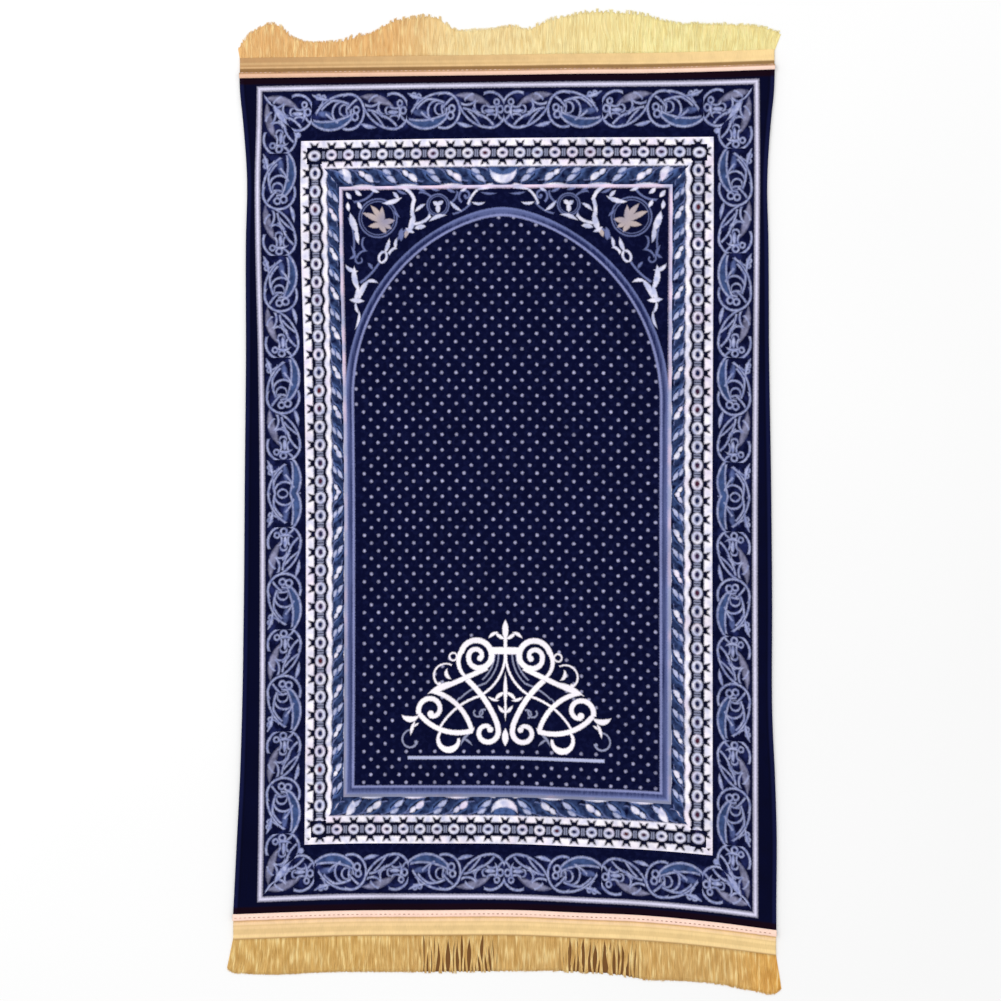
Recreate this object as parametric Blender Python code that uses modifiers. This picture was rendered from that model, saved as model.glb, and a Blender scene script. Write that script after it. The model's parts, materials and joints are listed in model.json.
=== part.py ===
"""Prayer rug, lying flat and face up: a pile cloth with a gold fringe trim over each end.

Metres, +Z up. The rug rests on the plane z = 0, with its niche end towards +Y and its
foot end towards -Y. The middle of the whole outline, fringes included, is the origin.
"""
import random
from collections import namedtuple

import bmesh
import bpy
import numpy as np

RUG_NAME = "prayer_rug"

# Cloth: one sheet of pile fabric, its turned hem part of it.
CLOTH_LENGTH = 1.110            # between the two lips, at the middle
CLOTH_THICKNESS = 0.004
HEM_ROUNDING = 0.0012
HEM_STEPS = 2
CLOTH_COLUMNS = 12
CLOTH_ROWS = 22

# How far each side edge stands from the middle line, down the cloth from the niche end.
SideRow = namedtuple("SideRow", "down left right")
SIDE_ROWS = (
    SideRow(-0.010, 0.3545, 0.3550),
    SideRow(0.020, 0.3540, 0.3540),
    SideRow(0.060, 0.3500, 0.3500),
    SideRow(0.139, 0.3445, 0.3450),
    SideRow(0.219, 0.3460, 0.3465),
    SideRow(0.378, 0.3460, 0.3475),
    SideRow(0.537, 0.3475, 0.3500),
    SideRow(0.696, 0.3487, 0.3514),
    SideRow(0.855, 0.3514, 0.3518),
    SideRow(0.935, 0.3540, 0.3554),
    SideRow(1.014, 0.3580, 0.3575),
    SideRow(1.094, 0.3620, 0.3570),
    SideRow(1.150, 0.3650, 0.3570),
)

# How far each end runs out past half the length, across the cloth from left to right.
EndRow = namedtuple("EndRow", "across niche foot")
END_ROWS = (
    EndRow(-0.362, -0.0053, 0.0020),
    EndRow(-0.208, -0.0033, -0.0030),
    EndRow(-0.102, -0.0020, -0.0035),
    EndRow(0.017, -0.0005, -0.0035),
    EndRow(0.100, 0.0008, 0.0000),
    EndRow(0.176, 0.0014, 0.0032),
    EndRow(0.270, 0.0036, 0.0118),
    EndRow(0.357, 0.0066, 0.0230),
)

# Fringe trims: a rolled lip on the cloth's end, a seam behind it, a flat tape, then strands.
TOUCH_GAP = 0.0003              # kept between the cloth and a trim
LAP = 0.0070                    # cloth that runs on under the lip
LIP_WIDTH = 0.0085
LIP_RISE = 0.0027
LIP_STEPS = 6
SEAM_RUN = 0.0045               # the slope from the lip down to the tape
SEAM_HEIGHT = 0.0028
TAPE_HEIGHT = 0.0022
TRIM_PANELS = 35                # straight lengths that follow the uneven end
STRANDS_PER_PANEL = 4
STRAND_WIDTH = 0.0034
STRAND_HEIGHT = 0.0020
STRAND_TAPER = 0.35             # share of width and height lost towards the tip
STRAND_DRIFT = 0.0003           # how far one strand strays from its neighbours
WAVE_TURN = 2.5                 # radians by which the sideways sweep shifts along a strand
FACES_OUT = 0.9                 # least share of a normal that points along the rug

# How far the strands reach past the lip's inner edge, across the rug from left to right.
ReachRow = namedtuple("ReachRow", "across reach")
NICHE_REACH = (
    ReachRow(-0.354, 0.042),
    ReachRow(-0.334, 0.065),
    ReachRow(-0.313, 0.075),
    ReachRow(-0.281, 0.056),
    ReachRow(-0.228, 0.050),
    ReachRow(-0.175, 0.064),
    ReachRow(-0.122, 0.080),
    ReachRow(-0.069, 0.065),
    ReachRow(-0.016, 0.061),
    ReachRow(0.037, 0.066),
    ReachRow(0.117, 0.081),
    ReachRow(0.170, 0.081),
    ReachRow(0.205, 0.070),
    ReachRow(0.270, 0.064),
    ReachRow(0.355, 0.054),
)
FOOT_REACH = (
    ReachRow(-0.365, 0.083),
    ReachRow(-0.222, 0.085),
    ReachRow(0.080, 0.083),
    ReachRow(0.190, 0.085),
    ReachRow(0.280, 0.082),
    ReachRow(0.357, 0.085),
)

# side: +1 at the niche end, -1 at the foot. width: lip's inner edge to the tape's outer
# edge. ragged: how unequal the strands are. lean_left, lean_right: how far the outermost
# tips lean outwards. wave, wave_length: the sideways sweep of the combed strands. rings:
# where a strand has its sections, as shares of its length.
Trim = namedtuple("Trim", "name side column width reach ragged lean_left lean_right "
                          "wave wave_length rings seed")
TRIMS = (
    Trim(name="fringe_niche_end", side=1, column="niche", width=0.0275, reach=NICHE_REACH,
         ragged=0.0040, lean_left=0.0005, lean_right=0.0075, wave=0.0024, wave_length=0.095,
         rings=(0.12, 0.42, 0.74, 1.0), seed=11),
    Trim(name="fringe_foot_end", side=-1, column="foot", width=0.0330, reach=FOOT_REACH,
         ragged=0.0012, lean_left=0.0090, lean_right=0.0065, wave=0.0012, wave_length=0.120,
         rings=(0.10, 0.55, 1.0), seed=23),
)

Finish = namedtuple("Finish", "colour roughness")
PILE_NAVY = Finish((0.012, 0.015, 0.055, 1.0), 0.9)
TRIM_GOLD = Finish((0.72, 0.48, 0.16, 1.0), 0.55)


def smooth_curve(rows, place, value):
    """Return a function that runs smoothly through two columns of a table."""
    places = np.array([getattr(row, place) for row in rows])
    values = np.array([getattr(row, value) for row in rows])
    slopes = np.gradient(values, places)

    def value_at(x):
        x = np.clip(x, places[0], places[-1])
        i = np.clip(np.searchsorted(places, x, side="right") - 1, 0, len(places) - 2)
        span = places[i + 1] - places[i]
        t = (x - places[i]) / span
        start = (1 + 2 * t) * (1 - t) ** 2 * values[i] + t * (1 - t) ** 2 * span * slopes[i]
        finish = t * t * (3 - 2 * t) * values[i + 1] - t * t * (1 - t) * span * slopes[i + 1]
        return float(start + finish)

    return value_at


LEFT_EDGE = smooth_curve(SIDE_ROWS, "down", "left")
RIGHT_EDGE = smooth_curve(SIDE_ROWS, "down", "right")
END_LINES = {column: smooth_curve(END_ROWS, "across", column) for column in ("niche", "foot")}


def side_x(down, share):
    """X at a share, from -1 at the left edge to 1 at the right, so far down the cloth."""
    left = -LEFT_EDGE(down)
    right = RIGHT_EDGE(down)
    return left + (right - left) * (share + 1) / 2


def end_distance(column, x, past=0.0):
    """Distance of an end line from the rug's cross axis at x, plus a step past the end."""
    return CLOTH_LENGTH / 2 + END_LINES[column](x) + past


def new_material(name, finish):
    material = bpy.data.materials.new(name)
    material.use_nodes = True
    shader = material.node_tree.nodes["Principled BSDF"]
    shader.inputs["Base Color"].default_value = finish.colour
    shader.inputs["Roughness"].default_value = finish.roughness
    shader.inputs["Metallic"].default_value = 0.0
    return material


def add_object(name, bm, material, collection):
    """Turn a bmesh into an object of its own in the rug's collection."""
    mesh = bpy.data.meshes.new(name)
    bm.to_mesh(mesh)
    bm.free()
    mesh.materials.append(material)
    rug_piece = bpy.data.objects.new(name, mesh)
    collection.objects.link(rug_piece)
    return rug_piece


def make_cloth(collection, material):
    """A flat sheet with the rug's uneven outline, thickened upwards, its rim rounded."""
    bm = bmesh.new()
    bmesh.ops.create_grid(bm, x_segments=CLOTH_COLUMNS, y_segments=CLOTH_ROWS, size=1.0)
    for vert in bm.verts:
        share_across, share_up = vert.co.x, vert.co.y
        down = CLOTH_LENGTH * (1 - share_up) / 2
        x = side_x(down, share_across)
        top = end_distance("niche", x, LAP)
        bottom = -end_distance("foot", x, LAP)
        vert.co = (x, bottom + (top - bottom) * (share_up + 1) / 2, 0.0)
    cloth = add_object("rug_cloth", bm, material, collection)
    thickness = cloth.modifiers.new("thickness", "SOLIDIFY")
    thickness.thickness = CLOTH_THICKNESS
    thickness.offset = 1.0
    rounding = cloth.modifiers.new("hem", "BEVEL")
    rounding.width = HEM_ROUNDING
    rounding.segments = HEM_STEPS
    rounding.limit_method = "ANGLE"
    return cloth


def trim_section(width):
    """The trim's outline as (past the lip's inner edge, height) points.

    The lip is half an ellipse on the cloth's end. The outline then falls to the tape, runs
    to the tape's outer edge and comes back along the floor and up the cloth's end face.
    """
    under = CLOTH_THICKNESS + TOUCH_GAP
    inner_wall = LAP + TOUCH_GAP
    turns = np.linspace(0, np.pi, LIP_STEPS + 1)
    lip = [(LIP_WIDTH / 2 * (1 - np.cos(turn)), under + LIP_RISE * np.sin(turn)) for turn in turns]
    return lip + [
        (LIP_WIDTH + SEAM_RUN, SEAM_HEIGHT),
        (width, TAPE_HEIGHT),
        (width, 0.0),
        (inner_wall, 0.0),
        (inner_wall, under),
    ]


def sweep_trim(bm, trim, stations):
    """Carry the trim's section along its uneven end, one panel at a time."""
    section = trim_section(trim.width)

    def place(x):
        return [(x, trim.side * end_distance(trim.column, x, past), z) for past, z in section]

    ring = [bm.verts.new(co) for co in place(stations[0])]
    cap = bm.faces.new(ring)
    inner_caps = []
    for x in stations[1:]:
        swept = bmesh.ops.extrude_face_region(bm, geom=[cap])["geom"]
        cap = next(part for part in swept if isinstance(part, bmesh.types.BMFace))
        inner_caps.append(cap)
        for vert, co in zip(cap.verts, place(x)):
            vert.co = co
    bmesh.ops.delete(bm, geom=inner_caps[:-1], context="FACES_ONLY")
    bmesh.ops.recalc_face_normals(bm, faces=bm.faces)


def root_faces(bm, trim):
    """Cut the tape's outer edge into strips and return every second one, a strand's root."""
    def on_outer_edge(vert):
        past = trim.side * vert.co.y - end_distance(trim.column, vert.co.x)
        return abs(past - trim.width) < TOUCH_GAP

    long_edges = [edge for edge in bm.edges
                  if all(on_outer_edge(vert) for vert in edge.verts)
                  and abs(edge.verts[0].co.x - edge.verts[1].co.x) > TOUCH_GAP]
    bmesh.ops.subdivide_edges(bm, edges=long_edges, cuts=2 * STRANDS_PER_PANEL - 1)
    bm.normal_update()
    outer = [face for face in bm.faces
             if trim.side * face.normal.y > FACES_OUT
             and all(v.co.z < SEAM_HEIGHT for v in face.verts)
             and all(trim.side * v.co.y > CLOTH_LENGTH / 2 + trim.width / 2 for v in face.verts)]
    outer.sort(key=lambda face: face.calc_center_median().x)
    return outer[1::2]


def grow_strands(bm, trim, roots, half_width):
    """Pull each root out into a tapering strand that lies level on the floor."""
    rng = random.Random(trim.seed)
    reach_at = smooth_curve(trim.reach, "across", "reach")
    starts = [face.calc_center_median() for face in roots]
    lengths = [reach_at(start.x) - trim.width + rng.uniform(-1, 1) * trim.ragged
               for start in starts]
    drifts = [rng.uniform(-1, 1) * STRAND_DRIFT for _ in roots]

    def centre(i, share):
        start = starts[i]
        outermost = trim.lean_right if start.x > 0 else trim.lean_left
        lean = outermost * (start.x / half_width) ** 3
        turn = 2 * np.pi * start.x / trim.wave_length + WAVE_TURN * share
        sweep = trim.wave * np.sin(turn)
        x = start.x + share * (lean + sweep + drifts[i])
        return x, start.y + trim.side * share * lengths[i]

    ring_faces = roots
    middles = [start.x for start in starts]
    half_height = TAPE_HEIGHT / 2
    for share in trim.rings:
        pulled = bmesh.ops.extrude_discrete_faces(bm, faces=ring_faces)["faces"]
        ring_faces = sorted(pulled, key=lambda face: face.calc_center_median().x)
        taper = 1 - STRAND_TAPER * share
        for i, face in enumerate(ring_faces):
            x, y = centre(i, share)
            for vert in face.verts:
                flank = 1 if vert.co.x > middles[i] else -1
                above = vert.co.z > half_height
                vert.co = (x + flank * STRAND_WIDTH / 2 * taper, y,
                           STRAND_HEIGHT * taper if above else 0.0)
            middles[i] = x
        half_height = STRAND_HEIGHT * taper / 2


def make_trim(trim, collection, material):
    """One trim in one piece: lip, seam and tape, with the strands' roots fused to the tape."""
    down = -LAP if trim.side > 0 else CLOTH_LENGTH + LAP
    left, right = side_x(down, -1), side_x(down, 1)
    stations = np.linspace(left, right, TRIM_PANELS + 1)
    bm = bmesh.new()
    sweep_trim(bm, trim, [float(x) for x in stations])
    grow_strands(bm, trim, root_faces(bm, trim), (right - left) / 2)
    return add_object(trim.name, bm, material, collection)


def centre_outline(pieces, trims):
    """Slide every piece so that the middle of the whole outline is over the origin."""
    points = np.array([vert.co for trim in trims for vert in trim.data.vertices])
    middle = (points.min(axis=0) + points.max(axis=0)) / 2
    for piece in pieces:
        for vert in piece.data.vertices:
            vert.co.x -= middle[0]
            vert.co.y -= middle[1]


def main():
    for old in list(bpy.data.objects):
        bpy.data.objects.remove(old, do_unlink=True)
    collection = bpy.data.collections.new(RUG_NAME)
    bpy.context.scene.collection.children.link(collection)
    cloth = make_cloth(collection, new_material("navy_pile", PILE_NAVY))
    gold = new_material("gold_trim", TRIM_GOLD)
    trims = [make_trim(trim, collection, gold) for trim in TRIMS]
    centre_outline([cloth] + trims, trims)


if __name__ == "__main__":
    main()
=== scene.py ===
"""Looks of a flat prayer rug: patterned pile cloth, rolled lips, woven tapes and loose fringe.

The frame's plane z = 0 is the floor, and the niche end of the rug points to +Y. Plans are
worked out in metres. Prints are drawn in millimetres on the flat cloth, whose middle is
(0, 0), so each motif's table reads like a maker's chart.
"""

import json
import math
from collections import namedtuple

import bpy
import numpy as np
from bpy.props import FloatProperty, FloatVectorProperty, IntProperty, PointerProperty
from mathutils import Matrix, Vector

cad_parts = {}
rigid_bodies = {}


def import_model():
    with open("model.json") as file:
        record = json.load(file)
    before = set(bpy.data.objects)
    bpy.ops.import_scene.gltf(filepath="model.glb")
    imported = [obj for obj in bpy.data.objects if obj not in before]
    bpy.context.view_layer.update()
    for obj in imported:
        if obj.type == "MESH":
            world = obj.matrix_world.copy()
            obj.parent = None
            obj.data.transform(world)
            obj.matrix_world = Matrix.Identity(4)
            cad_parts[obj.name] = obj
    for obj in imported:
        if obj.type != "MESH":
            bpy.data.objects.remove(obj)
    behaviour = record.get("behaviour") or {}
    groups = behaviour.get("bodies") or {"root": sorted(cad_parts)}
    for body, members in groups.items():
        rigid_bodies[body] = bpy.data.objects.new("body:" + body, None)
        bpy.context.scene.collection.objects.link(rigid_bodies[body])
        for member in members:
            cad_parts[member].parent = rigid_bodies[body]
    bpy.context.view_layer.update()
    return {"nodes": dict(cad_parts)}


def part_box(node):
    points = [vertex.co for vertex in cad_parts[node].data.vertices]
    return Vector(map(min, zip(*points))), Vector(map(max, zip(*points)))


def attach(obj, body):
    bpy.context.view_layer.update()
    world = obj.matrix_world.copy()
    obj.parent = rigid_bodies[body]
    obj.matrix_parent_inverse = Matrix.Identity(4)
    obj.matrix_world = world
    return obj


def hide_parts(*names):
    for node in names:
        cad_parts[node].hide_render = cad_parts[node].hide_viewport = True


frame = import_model()

bl_info = {
    "name": "Prayer Rug",
    "version": (1, 0, 0),
    "blender": (4, 5, 0),
    "location": "View3D > Sidebar > Rug",
    "description": "Builds a flat prayer rug with a printed pile and a gold fringe at each end",
    "category": "Add Mesh",
}

BODY = "root"
CLOTH_NODE = "rug_cloth"
CAD_NODES = (CLOTH_NODE, "fringe_niche_end", "fringe_foot_end")
MM = 0.001
GRAIN_HEIGHT = 0.0004           # of the pile's nap and the tapes' ribs

# ---------------------------------------------------------------- plan of the rug, in metres

def table(columns, *rows):
    """Rows of values under named columns."""
    row = namedtuple("row", columns)
    return [row(*values) for values in rows]


# Side edges and the print's outer guard line, as distances from the middle line, down the
# cloth from the niche end.
SIDE_ROWS = table(
    "down left right guard_left guard_right",
    (-0.010, 0.3545, 0.3550, 0.3290, 0.3300), (0.020, 0.3540, 0.3540, 0.3286, 0.3306),
    (0.060, 0.3500, 0.3500, 0.3291, 0.3309), (0.139, 0.3445, 0.3450, 0.3312, 0.3312),
    (0.219, 0.3460, 0.3465, 0.3306, 0.3308), (0.378, 0.3460, 0.3475, 0.3268, 0.3294),
    (0.537, 0.3475, 0.3500, 0.3248, 0.3283), (0.696, 0.3487, 0.3514, 0.3246, 0.3282),
    (0.855, 0.3514, 0.3518, 0.3251, 0.3286), (0.935, 0.3540, 0.3554, 0.3259, 0.3287),
    (1.014, 0.3580, 0.3575, 0.3267, 0.3288), (1.094, 0.3620, 0.3570, 0.3280, 0.3288),
    (1.150, 0.3650, 0.3570, 0.3284, 0.3288))

# How far each end runs out past half the length, across the cloth from left to right, and
# how far inside each lip the print's guard line lies.
END_ROWS = table(
    "across niche foot niche_guard foot_guard",
    (-0.362, -0.0053, 0.0020, 0.0147, 0.0183), (-0.208, -0.0033, -0.0030, 0.0138, 0.0185),
    (-0.102, -0.0020, -0.0035, 0.0133, 0.0181), (0.017, -0.0005, -0.0035, 0.0132, 0.0170),
    (0.100, 0.0008, 0.0000, 0.0136, 0.0168), (0.176, 0.0014, 0.0032, 0.0137, 0.0161),
    (0.270, 0.0036, 0.0118, 0.0146, 0.0162), (0.357, 0.0066, 0.0230, 0.0150, 0.0163))

CLOTH_LENGTH = 1.110            # between the two lips, at the middle
HALF_LENGTH = CLOTH_LENGTH / 2
CLOTH_THICKNESS = 0.004
LAP = 0.0070                    # cloth that runs on under the lip
TOUCH_GAP = 0.0003              # kept between the cloth and a trim
LIP_FOOT = 0.0026               # height of the lip's flank where it meets the tape

# How far the strands reach past the lip's inner edge, across the rug from left to right.
NICHE_REACH = table(
    "across reach",
    (-0.354, 0.042), (-0.334, 0.064), (-0.313, 0.074), (-0.283, 0.054),
    (-0.237, 0.049), (-0.215, 0.051), (-0.199, 0.056), (-0.175, 0.062),
    (-0.146, 0.076), (-0.123, 0.080), (-0.090, 0.077), (-0.074, 0.066),
    (-0.028, 0.063), (0.010, 0.066), (0.029, 0.062), (0.057, 0.074),
    (0.085, 0.081), (0.160, 0.082), (0.188, 0.077), (0.212, 0.070),
    (0.286, 0.064), (0.342, 0.056), (0.357, 0.048))
FOOT_REACH = table(
    "across reach",
    (-0.365, 0.071), (-0.358, 0.077), (-0.340, 0.080), (-0.222, 0.082),
    (0.011, 0.082), (0.069, 0.080), (0.151, 0.082), (0.184, 0.086),
    (0.221, 0.084), (0.287, 0.083), (0.324, 0.086), (0.349, 0.085),
    (0.357, 0.079))

# How loose the strands are across the rug, from 0, combed, to 1, in separate wavy locks.
NICHE_LOOSE = table(
    "across loose",
    (-0.355, 0.60), (-0.300, 0.30), (-0.235, 0.20), (-0.200, 0.80),
    (-0.180, 0.40), (-0.150, 0.75), (-0.095, 0.70), (-0.060, 0.25),
    (0.030, 0.30), (0.070, 0.75), (0.160, 0.85), (0.220, 0.35),
    (0.355, 0.35))
FOOT_LOOSE = table(
    "across loose",
    (-0.365, 0.20), (-0.135, 0.12), (-0.108, 0.85), (-0.030, 1.00),
    (0.005, 0.35), (0.055, 0.40), (0.085, 0.90), (0.165, 0.90),
    (0.200, 0.25), (0.300, 0.35), (0.357, 0.20))

# Height of the tape past the lip's inner edge, past in metres and height in millimetres,
# and the tones of the stripes laid over the lip and the tape, past in millimetres: woven
# stripes, lighter rows over the raised ridges, darker rows by the groove beside the lip,
# where the niche's brown is its seam with painted shade, and at the foot a last row of
# painted shadow along the tape's outer edge.
NICHE_RIDGES = table(
    "past height",
    (0.0074, 2.30), (0.0120, 2.30), (0.0130, 3.10), (0.0142, 3.10),
    (0.0152, 2.50), (0.0200, 2.70), (0.0250, 2.50), (0.0272, 2.10))
FOOT_RIDGES = table(
    "past height",
    (0.0074, 2.20), (0.0108, 2.30), (0.0120, 2.90), (0.0200, 2.80),
    (0.0215, 2.50), (0.0280, 2.60), (0.0294, 3.20), (0.0318, 3.20),
    (0.0328, 2.40), (0.0342, 1.90))
NICHE_TONES = table(
    "start stop shade share",
    # The brown rows: the seam, with painted shade over the lip's outer flank and in the groove.
    (4.9, 8.4, (176, 132, 88), 0.90), (8.2, 12.4, (140, 100, 48), 0.90),
    (12.9, 14.8, (250, 214, 160), 0.35), (17.5, 20.5, (238, 204, 146), 0.30))
FOOT_TONES = table(
    "start stop shade share",
    (8.6, 10.8, (214, 170, 126), 0.45), (11.4, 14.8, (246, 210, 170), 0.55),
    (15.6, 17.0, (208, 172, 118), 0.45), (21.0, 27.4, (214, 182, 122), 0.50),
    # The last row: painted shadow along the tape's outer edge.
    (28.8, 32.0, (244, 212, 150), 0.75), (32.8, 35.6, (178, 136, 78), 0.80))

# One row for each end. side: +1 towards +Y. lip: its width. tape: where the tape ends, from
# the lip's inner edge. ragged: how unequal the strands are. lean_left, lean_right: how far
# the outermost tips lean outwards. lock: width of one lock of yarns. sway: how far a loose
# lock wanders. sweep, sweep_length: the slow sideways bend of the whole fringe. gaps: how
# dark the painted shade is between loose locks, and how strong it is on the yarns' roots.
# turns: places across the rug where the left colour starts to turn to the middle one and is
# there, then the same for the right one.
Trim = namedtuple("Trim", "name node side lip lip_stray lip_left tape tape_left ridges "
                          "tones stitches_at reach loose ragged lean_left lean_right lock "
                          "sway sweep sweep_length gaps turns fringe_colours "
                          "fringe_shade seed")
TRIMS = (
    Trim(name="niche", node="fringe_niche_end", side=1, lip=0.0077,
         lip_stray=0.0003, lip_left="lip_shaded", tape=0.0275, tape_left="tape_shaded",
         ridges=NICHE_RIDGES, tones=NICHE_TONES, stitches_at=0.0068, reach=NICHE_REACH,
         loose=NICHE_LOOSE, ragged=0.0022, lean_left=0.0005, lean_right=0.0075, lock=0.0050,
         sway=0.0030, sweep=0.0024, sweep_length=0.095, gaps=0.12,
         turns=(-0.15, -0.06, 0.0, 0.20),
         fringe_colours=("fringe_tan", "fringe_gold", "fringe_pale"),
         fringe_shade="shade_niche", seed=11),
    Trim(name="foot", node="fringe_foot_end", side=-1, lip=0.0090,
         lip_stray=0.0002, lip_left="lip", tape=0.0345, tape_left="tape_foot",
         ridges=FOOT_RIDGES, tones=FOOT_TONES, stitches_at=0.0050, reach=FOOT_REACH,
         loose=FOOT_LOOSE, ragged=0.0010, lean_left=0.0090, lean_right=0.0065, lock=0.0046,
         sway=0.0020, sweep=0.0012, sweep_length=0.120, gaps=1.0,
         turns=(-0.20, -0.10, 0.29, 0.37),
         fringe_colours=("fringe_ochre", "fringe_middle", "fringe_orange"),
         fringe_shade="shade_foot", seed=23),
)
TAPE_INSET = 0.0006             # the tape's ends stay this far inside the lip's
YARN_ROOT = 0.0030              # yarns start this far under the tape

# Columns of the cloth's grid outside the guard line, as distances from the side edge, and
# rows as distances past the lip's inner edge, in millimetres.
HEM_COLUMNS = (0.0, 0.5, 1.2, 2.4, 4.0, 5.6, 7.0, 8.2)
LAP_ROWS = (7.0, 6.5, 5.8, 3.0, 0.0, -3.0, -6.5)

PLAN_SAMPLES = 240              # places at which the plan's widest reach is sought
PLAN_HALF_WIDTH = 0.355
PLACING_PASSES = 3              # over the grid, whose X and Y depend on each other a little

# Profiles across the cloth's rim: distances in from it and what they hold there, both in
# millimetres but for the hem's, which counts in hem rises.
SHOULDER = ((0.0, 0.5, 1.2, 2.4), (2.2, 3.4, 3.9, 4.0))
UNDERCUT = ((0.0, 0.5, 1.2), (1.8, 0.6, 0.0))
HEM_PROFILE = ((0.0, 2.4, 5.6, 7.0, 8.2, 12.0), (0.0, 1.0, 1.0, 0.0, -0.9, 0.0))

# The cloth's slow waves, in radians a metre, and where they begin and are full inside the
# rim, in millimetres.
LIE_WAVES = table("along_x along_y start", (23, 7, 1.0), (-9, 17, 2.3), (31, 31, 0.7))
LIE_FROM, LIE_DEEP = 12, 40

# The cloth's map for baking, from its low edge up: underside, rim, then the pile.
BAKE_UNDER = 0.05
BAKE_RIM = (0.052, 0.058)
BAKE_RIM_FILL = 0.9             # share of its place that each face of the rim takes
BAKE_PILE = 0.06

LIP_TURNS = 11                  # points over the lip's half ellipse
LIP_STEP = 4                    # stations of the trim in one of the lip's steps
TAPE_POINTS = 30                # points across the tape's ridges
TAPE_EDGE = 0.0012              # height of the tape's outer edge
TAPE_SLANT = 0.0004             # how far that edge leans out
STITCH_CLEAR = 0.004            # between the last stitches and the trim's ends
STITCH_FLAT = 0.8               # a stitch's height as a share of its width
STITCH_BLUNT = 1.04             # over 1, so that a stitch's ends aren't points
YARN_INSET = 0.0015             # outermost yarns, inside the trim's ends
YARN_HEIGHT, YARN_LIFT = 0.0012, 0.0006     # least height of a yarn's root, and what is added
YARN_SINK = 0.45                # share of that height lost towards the tip
YARN_WAVE = 0.0004              # how far a yarn goes up and down
YARN_CLEAR = 0.0002             # least height of its underside
YARN_WIDTHS = (0.8, 1.2)        # shares of the yarns' width, from the slimmest to the widest
YARN_TAPER = ((0, 0.9, 1), (1.0, 0.95, 0.6))
SWEEP_TURN = 2.5                # radians by which the slow bend shifts down a yarn
LOCK_STRAY = 0.12               # how unevenly yarns are shared out to locks
LOCK_TURNS = (2.5, 6.5)         # radians of a lock's sway
LOCK_SWAYS = (0.2, 1.0)         # shares of the full sway
PULL_COMBED, PULL_LOOSE = 0.08, 0.74        # share of the way to the lock's middle line
BED_POINTS = 12                 # points down one section of the mat
BED_HEIGHT, BED_STRAY = 0.0011, 0.0002      # at the yarns' roots, and how uneven
BED_SINK = 0.55                 # share of its height that the mat loses towards the tips
BED_UNDER = 0.0001              # height of its underside

VIEW_WIDTH = 1.3273             # of the picture, on the plane z = 0
VIEW_MIDDLE = (-0.0063, 0.0013)
CAMERA_HEIGHT = 3.0
WORLD_STRENGTH = 0.93
SOFTBOX_POWER = 26.0
SOFTBOX_PLACE = (-1.6, 1.4, 2.6)
SOFTBOX_SIZE = 2.0
SENSOR_WIDTH = 36.0             # of the camera, in millimetres
FLOOR_HALF = 4.0
FLOOR_WHITE = (0.93, 0.93, 0.93, 1.0)
FLOOR_PALE = (0.90, 0.90, 0.90, 1.0)


def smooth_curve(rows, place, value):
    """Return a function of an array: a smooth cubic through two columns of a table."""
    places = np.array([getattr(row, place) for row in rows])
    values = np.array([getattr(row, value) for row in rows])
    slopes = np.gradient(values, places)

    def value_at(x):
        x = np.clip(x, places[0], places[-1])
        i = np.clip(np.searchsorted(places, x, side="right") - 1, 0, len(places) - 2)
        span = places[i + 1] - places[i]
        t = (x - places[i]) / span
        start = (1 + 2 * t) * (1 - t) ** 2 * values[i] + t * (1 - t) ** 2 * span * slopes[i]
        finish = t * t * (3 - 2 * t) * values[i + 1] - t * t * (1 - t) * span * slopes[i + 1]
        return start + finish

    return value_at


def smooth_curves(rows):
    """Smooth curves over a table's first column, one for each column after it."""
    place, *columns = rows[0]._fields
    return {column: smooth_curve(rows, place, column) for column in columns}


SIDES = smooth_curves(SIDE_ROWS)
ENDS = smooth_curves(END_ROWS)


def end_distance(column, x, past=0.0):
    """Distance of an end line from the rug's cross axis at x, plus a step past the end."""
    return HALF_LENGTH + ENDS[column](x) + past


def plan_shift():
    """How far the whole plan is slid, so that the cloth fills its own box in the frame."""
    low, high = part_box(CLOTH_NODE)
    downs = np.linspace(0, CLOTH_LENGTH, PLAN_SAMPLES)
    middle_x = (SIDES["right"](downs).max() - SIDES["left"](downs).max()) / 2
    across = np.linspace(-PLAN_HALF_WIDTH, PLAN_HALF_WIDTH, PLAN_SAMPLES)
    top = end_distance("niche", across, LAP).max()
    return (low[0] + high[0]) / 2 - middle_x, high[1] - top


SHIFT_X, SHIFT_Y = plan_shift()

# How far the weave is drawn to the right, in millimetres, by the share of the printed width
# from the left, at the niche end and in the foot half.
DRAWN_ROWS = table(
    "share niche foot",
    (0.000, 0.9, 0.9), (0.118, -1.2, 0.9), (0.167, -1.7, 0.3),
    (0.350, -4.8, -3.7), (0.500, -5.2, -4.6), (0.667, -4.4, -4.3),
    (0.833, -1.3, -2.0), (0.882, 0.3, 0.5), (1.000, 0.1, 0.1))
DRAWN_FROM, DRAWN_TO = 0.10, 0.55           # down the cloth, where one passes to the other
DRAWN = smooth_curves(DRAWN_ROWS)

# ---------------------------------------------------------------- print, in millimetres

GUARD_WIDTH = 328.0             # middle of the cloth to the guard line at the sides
GUARD_LENGTH = 540.0            # and at the ends
GUARD_HALF_LINE = 2.1
GUARD_SOFTNESS = 4.6
MITRE = 1.206                   # slope of the line where side and end bands meet
PRINT_SOFTNESS = 1.9            # width of the soft edge of a printed line
BAND_SOFTNESS = 2.6
SCROLL_SOFTNESS = 2.4
PILE_STRAY = 1.1                # how far the pile strays from the drawn line
STRAIGHTEST = 0.004             # least sagitta of an arc, as a share of its chord
SCROLL_HALF = 21.0              # half the depth of the scroll border's cloudy ground
HEM_EDGE = 5.6                  # where the hem's own tone ends, from the side edge
HEM_GROOVE = (6.4, 8.4)         # the groove beside it, laid dark as painted shade
LIP_STRIP = 8.4                 # width of the dark strip beside each lip

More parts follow.
